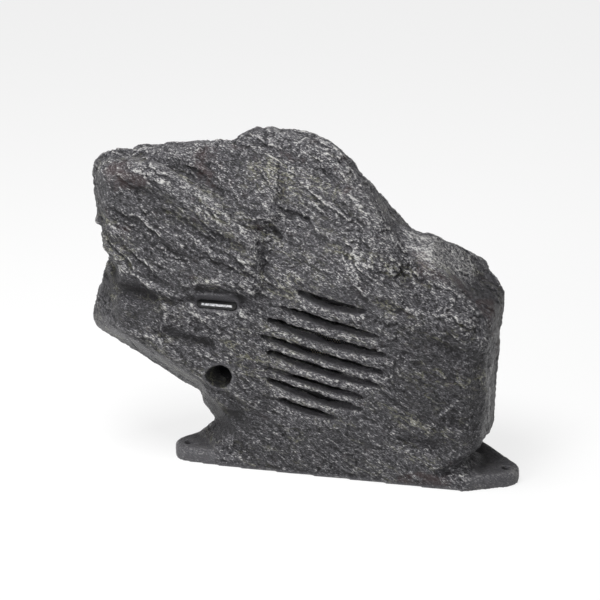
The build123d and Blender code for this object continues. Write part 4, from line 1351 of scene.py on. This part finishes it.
@dataclass
class Studio:
    """Pale floor, soft lamps and the photograph's camera."""

    yaw: float = 10.7
    lift: float = 21.0
    distance: float = 1.9
    lens: float = 121.6
    aim_right: float = -0.0422
    aim_up: float = 0.1575
    floor_half: float = 30.0
    floor_drop: float = 0.0002
    floor_glow: float = 0.80
    world_light: float = 0.23
    lamp_size: float = 0.7
    sensor: float = 36.0

    def build(self) -> None:
        """Make the floor, the lamps, the world and the camera."""
        self.floor()
        self.lamp("lamp_top", (-0.3, -0.3, 1.45), (-0.02, 0.02, 0.12), 23.0)
        self.lamp("lamp_front", (-1.0, -1.5, 0.9), (-0.05, 0.0, 0.12), 15.0)
        self.world()
        self.camera()

    def looking(self, tree: Tree, *kinds: str) -> Socket:
        """Tell the rays that look at the stage from those that light it.

        Args:
            tree: the floor's or the world's node tree.
            kinds: outputs of the light path for the rays that look.

        Returns:
            The socket: 1 for a ray that looks, 0 for one that lights.
        """
        path = add_node(tree, "LightPath").outputs
        shown = path[kinds[0]]
        for kind in kinds[1:]:
            shown = add_node(tree, "Math", {"operation": "MAXIMUM", 0: shown, 1: path[kind]}).outputs[0]
        return shown

    def floor(self) -> None:
        """Make a pale floor that keeps a soft shadow."""
        half = self.floor_half
        corners = [(-half, -half), (half, -half), (half, half), (-half, half)]
        mesh = bpy.data.meshes.new("studio_floor")
        mesh.from_pydata([(x, y, -self.floor_drop) for x, y in corners], [], [(0, 1, 2, 3)])
        floor = linked_object("studio_floor", mesh)
        material, tree = new_material("studio_paper")
        paper = add_node(tree, "BsdfDiffuse", {"Color": linear("#f4f4f4")})
        glow = add_node(tree, "Emission", {"Color": (1, 1, 1, 1), "Strength": 1.0})
        shown = self.looking(tree, "Is Camera Ray", "Is Glossy Ray", "Is Transmission Ray")
        share = add_node(tree, "Math", {"operation": "MULTIPLY", 0: shown, 1: self.floor_glow})
        surface = add_node(tree, "MixShader", {0: share, 1: paper, 2: glow})
        add_node(tree, "OutputMaterial", {"Surface": surface})
        mesh.materials.append(material)

    def lamp(self, name: str, place: Point, target: Point, power: float) -> None:
        """Hang one soft lamp.

        Args:
            name: the lamp's name.
            place: where it hangs, in metres.
            target: the point that it faces.
            power: power in watts.
        """
        data = bpy.data.lights.new(name, "AREA")
        data.size = self.lamp_size
        data.energy = power
        lamp = linked_object(name, data)
        lamp.location = place
        lamp.rotation_euler = (Vector(target) - Vector(place)).to_track_quat("-Z", "Y").to_euler()

    def world(self) -> None:
        """Give the world a soft grey light, and show it white."""
        world = bpy.data.worlds.new("studio_world")
        bpy.context.scene.world = world
        world.use_nodes = True
        tree = world.node_tree
        tree.nodes.clear()
        soft, white = (
            add_node(tree, "Background", {"Color": (1, 1, 1, 1), "Strength": strength})
            for strength in (self.world_light, 1.0)
        )
        shown = self.looking(tree, "Is Camera Ray", "Is Transmission Ray")
        surface = add_node(tree, "MixShader", {0: shown, 1: soft, 2: white})
        add_node(tree, "OutputWorld", {"Surface": surface})

    def camera(self) -> None:
        """Stand the camera where the photograph was taken from."""
        right, up, back = (Vector(way) for way in Seat(self.yaw, self.lift).axes())
        data = bpy.data.cameras.new("photo_camera")
        data.lens = self.lens
        data.sensor_width = self.sensor
        data.clip_start, data.clip_end = 0.05, 50.0
        camera = linked_object("photo_camera", data)
        stand = Matrix((right, up, back)).transposed().to_4x4()
        stand.translation = right * self.aim_right + up * self.aim_up + back * self.distance
        camera.matrix_world = stand
        bpy.context.scene.camera = camera


def main() -> None:
    """Build every sub-assembly in order, and report each piece."""
    logging.basicConfig(level=logging.INFO, format="%(message)s")
    bpy.context.scene.view_settings.view_transform = "Standard"
    LOG.info("dressed %d carried-over pieces", PlainParts().dress())
    BadgePlate().dress()
    LOG.info("dressed badge_plate")
    LOG.info("built %s", RockShell().build().name)
    LOG.info("built %s", FrontScreen().build().name)
    LOG.info("built %d sectors of the surround and the spider", len(Suspension().build()))
    LOG.info("built %s", WaddingPad().build().name)
    Studio().build()


if __name__ == "__main__":
    main()
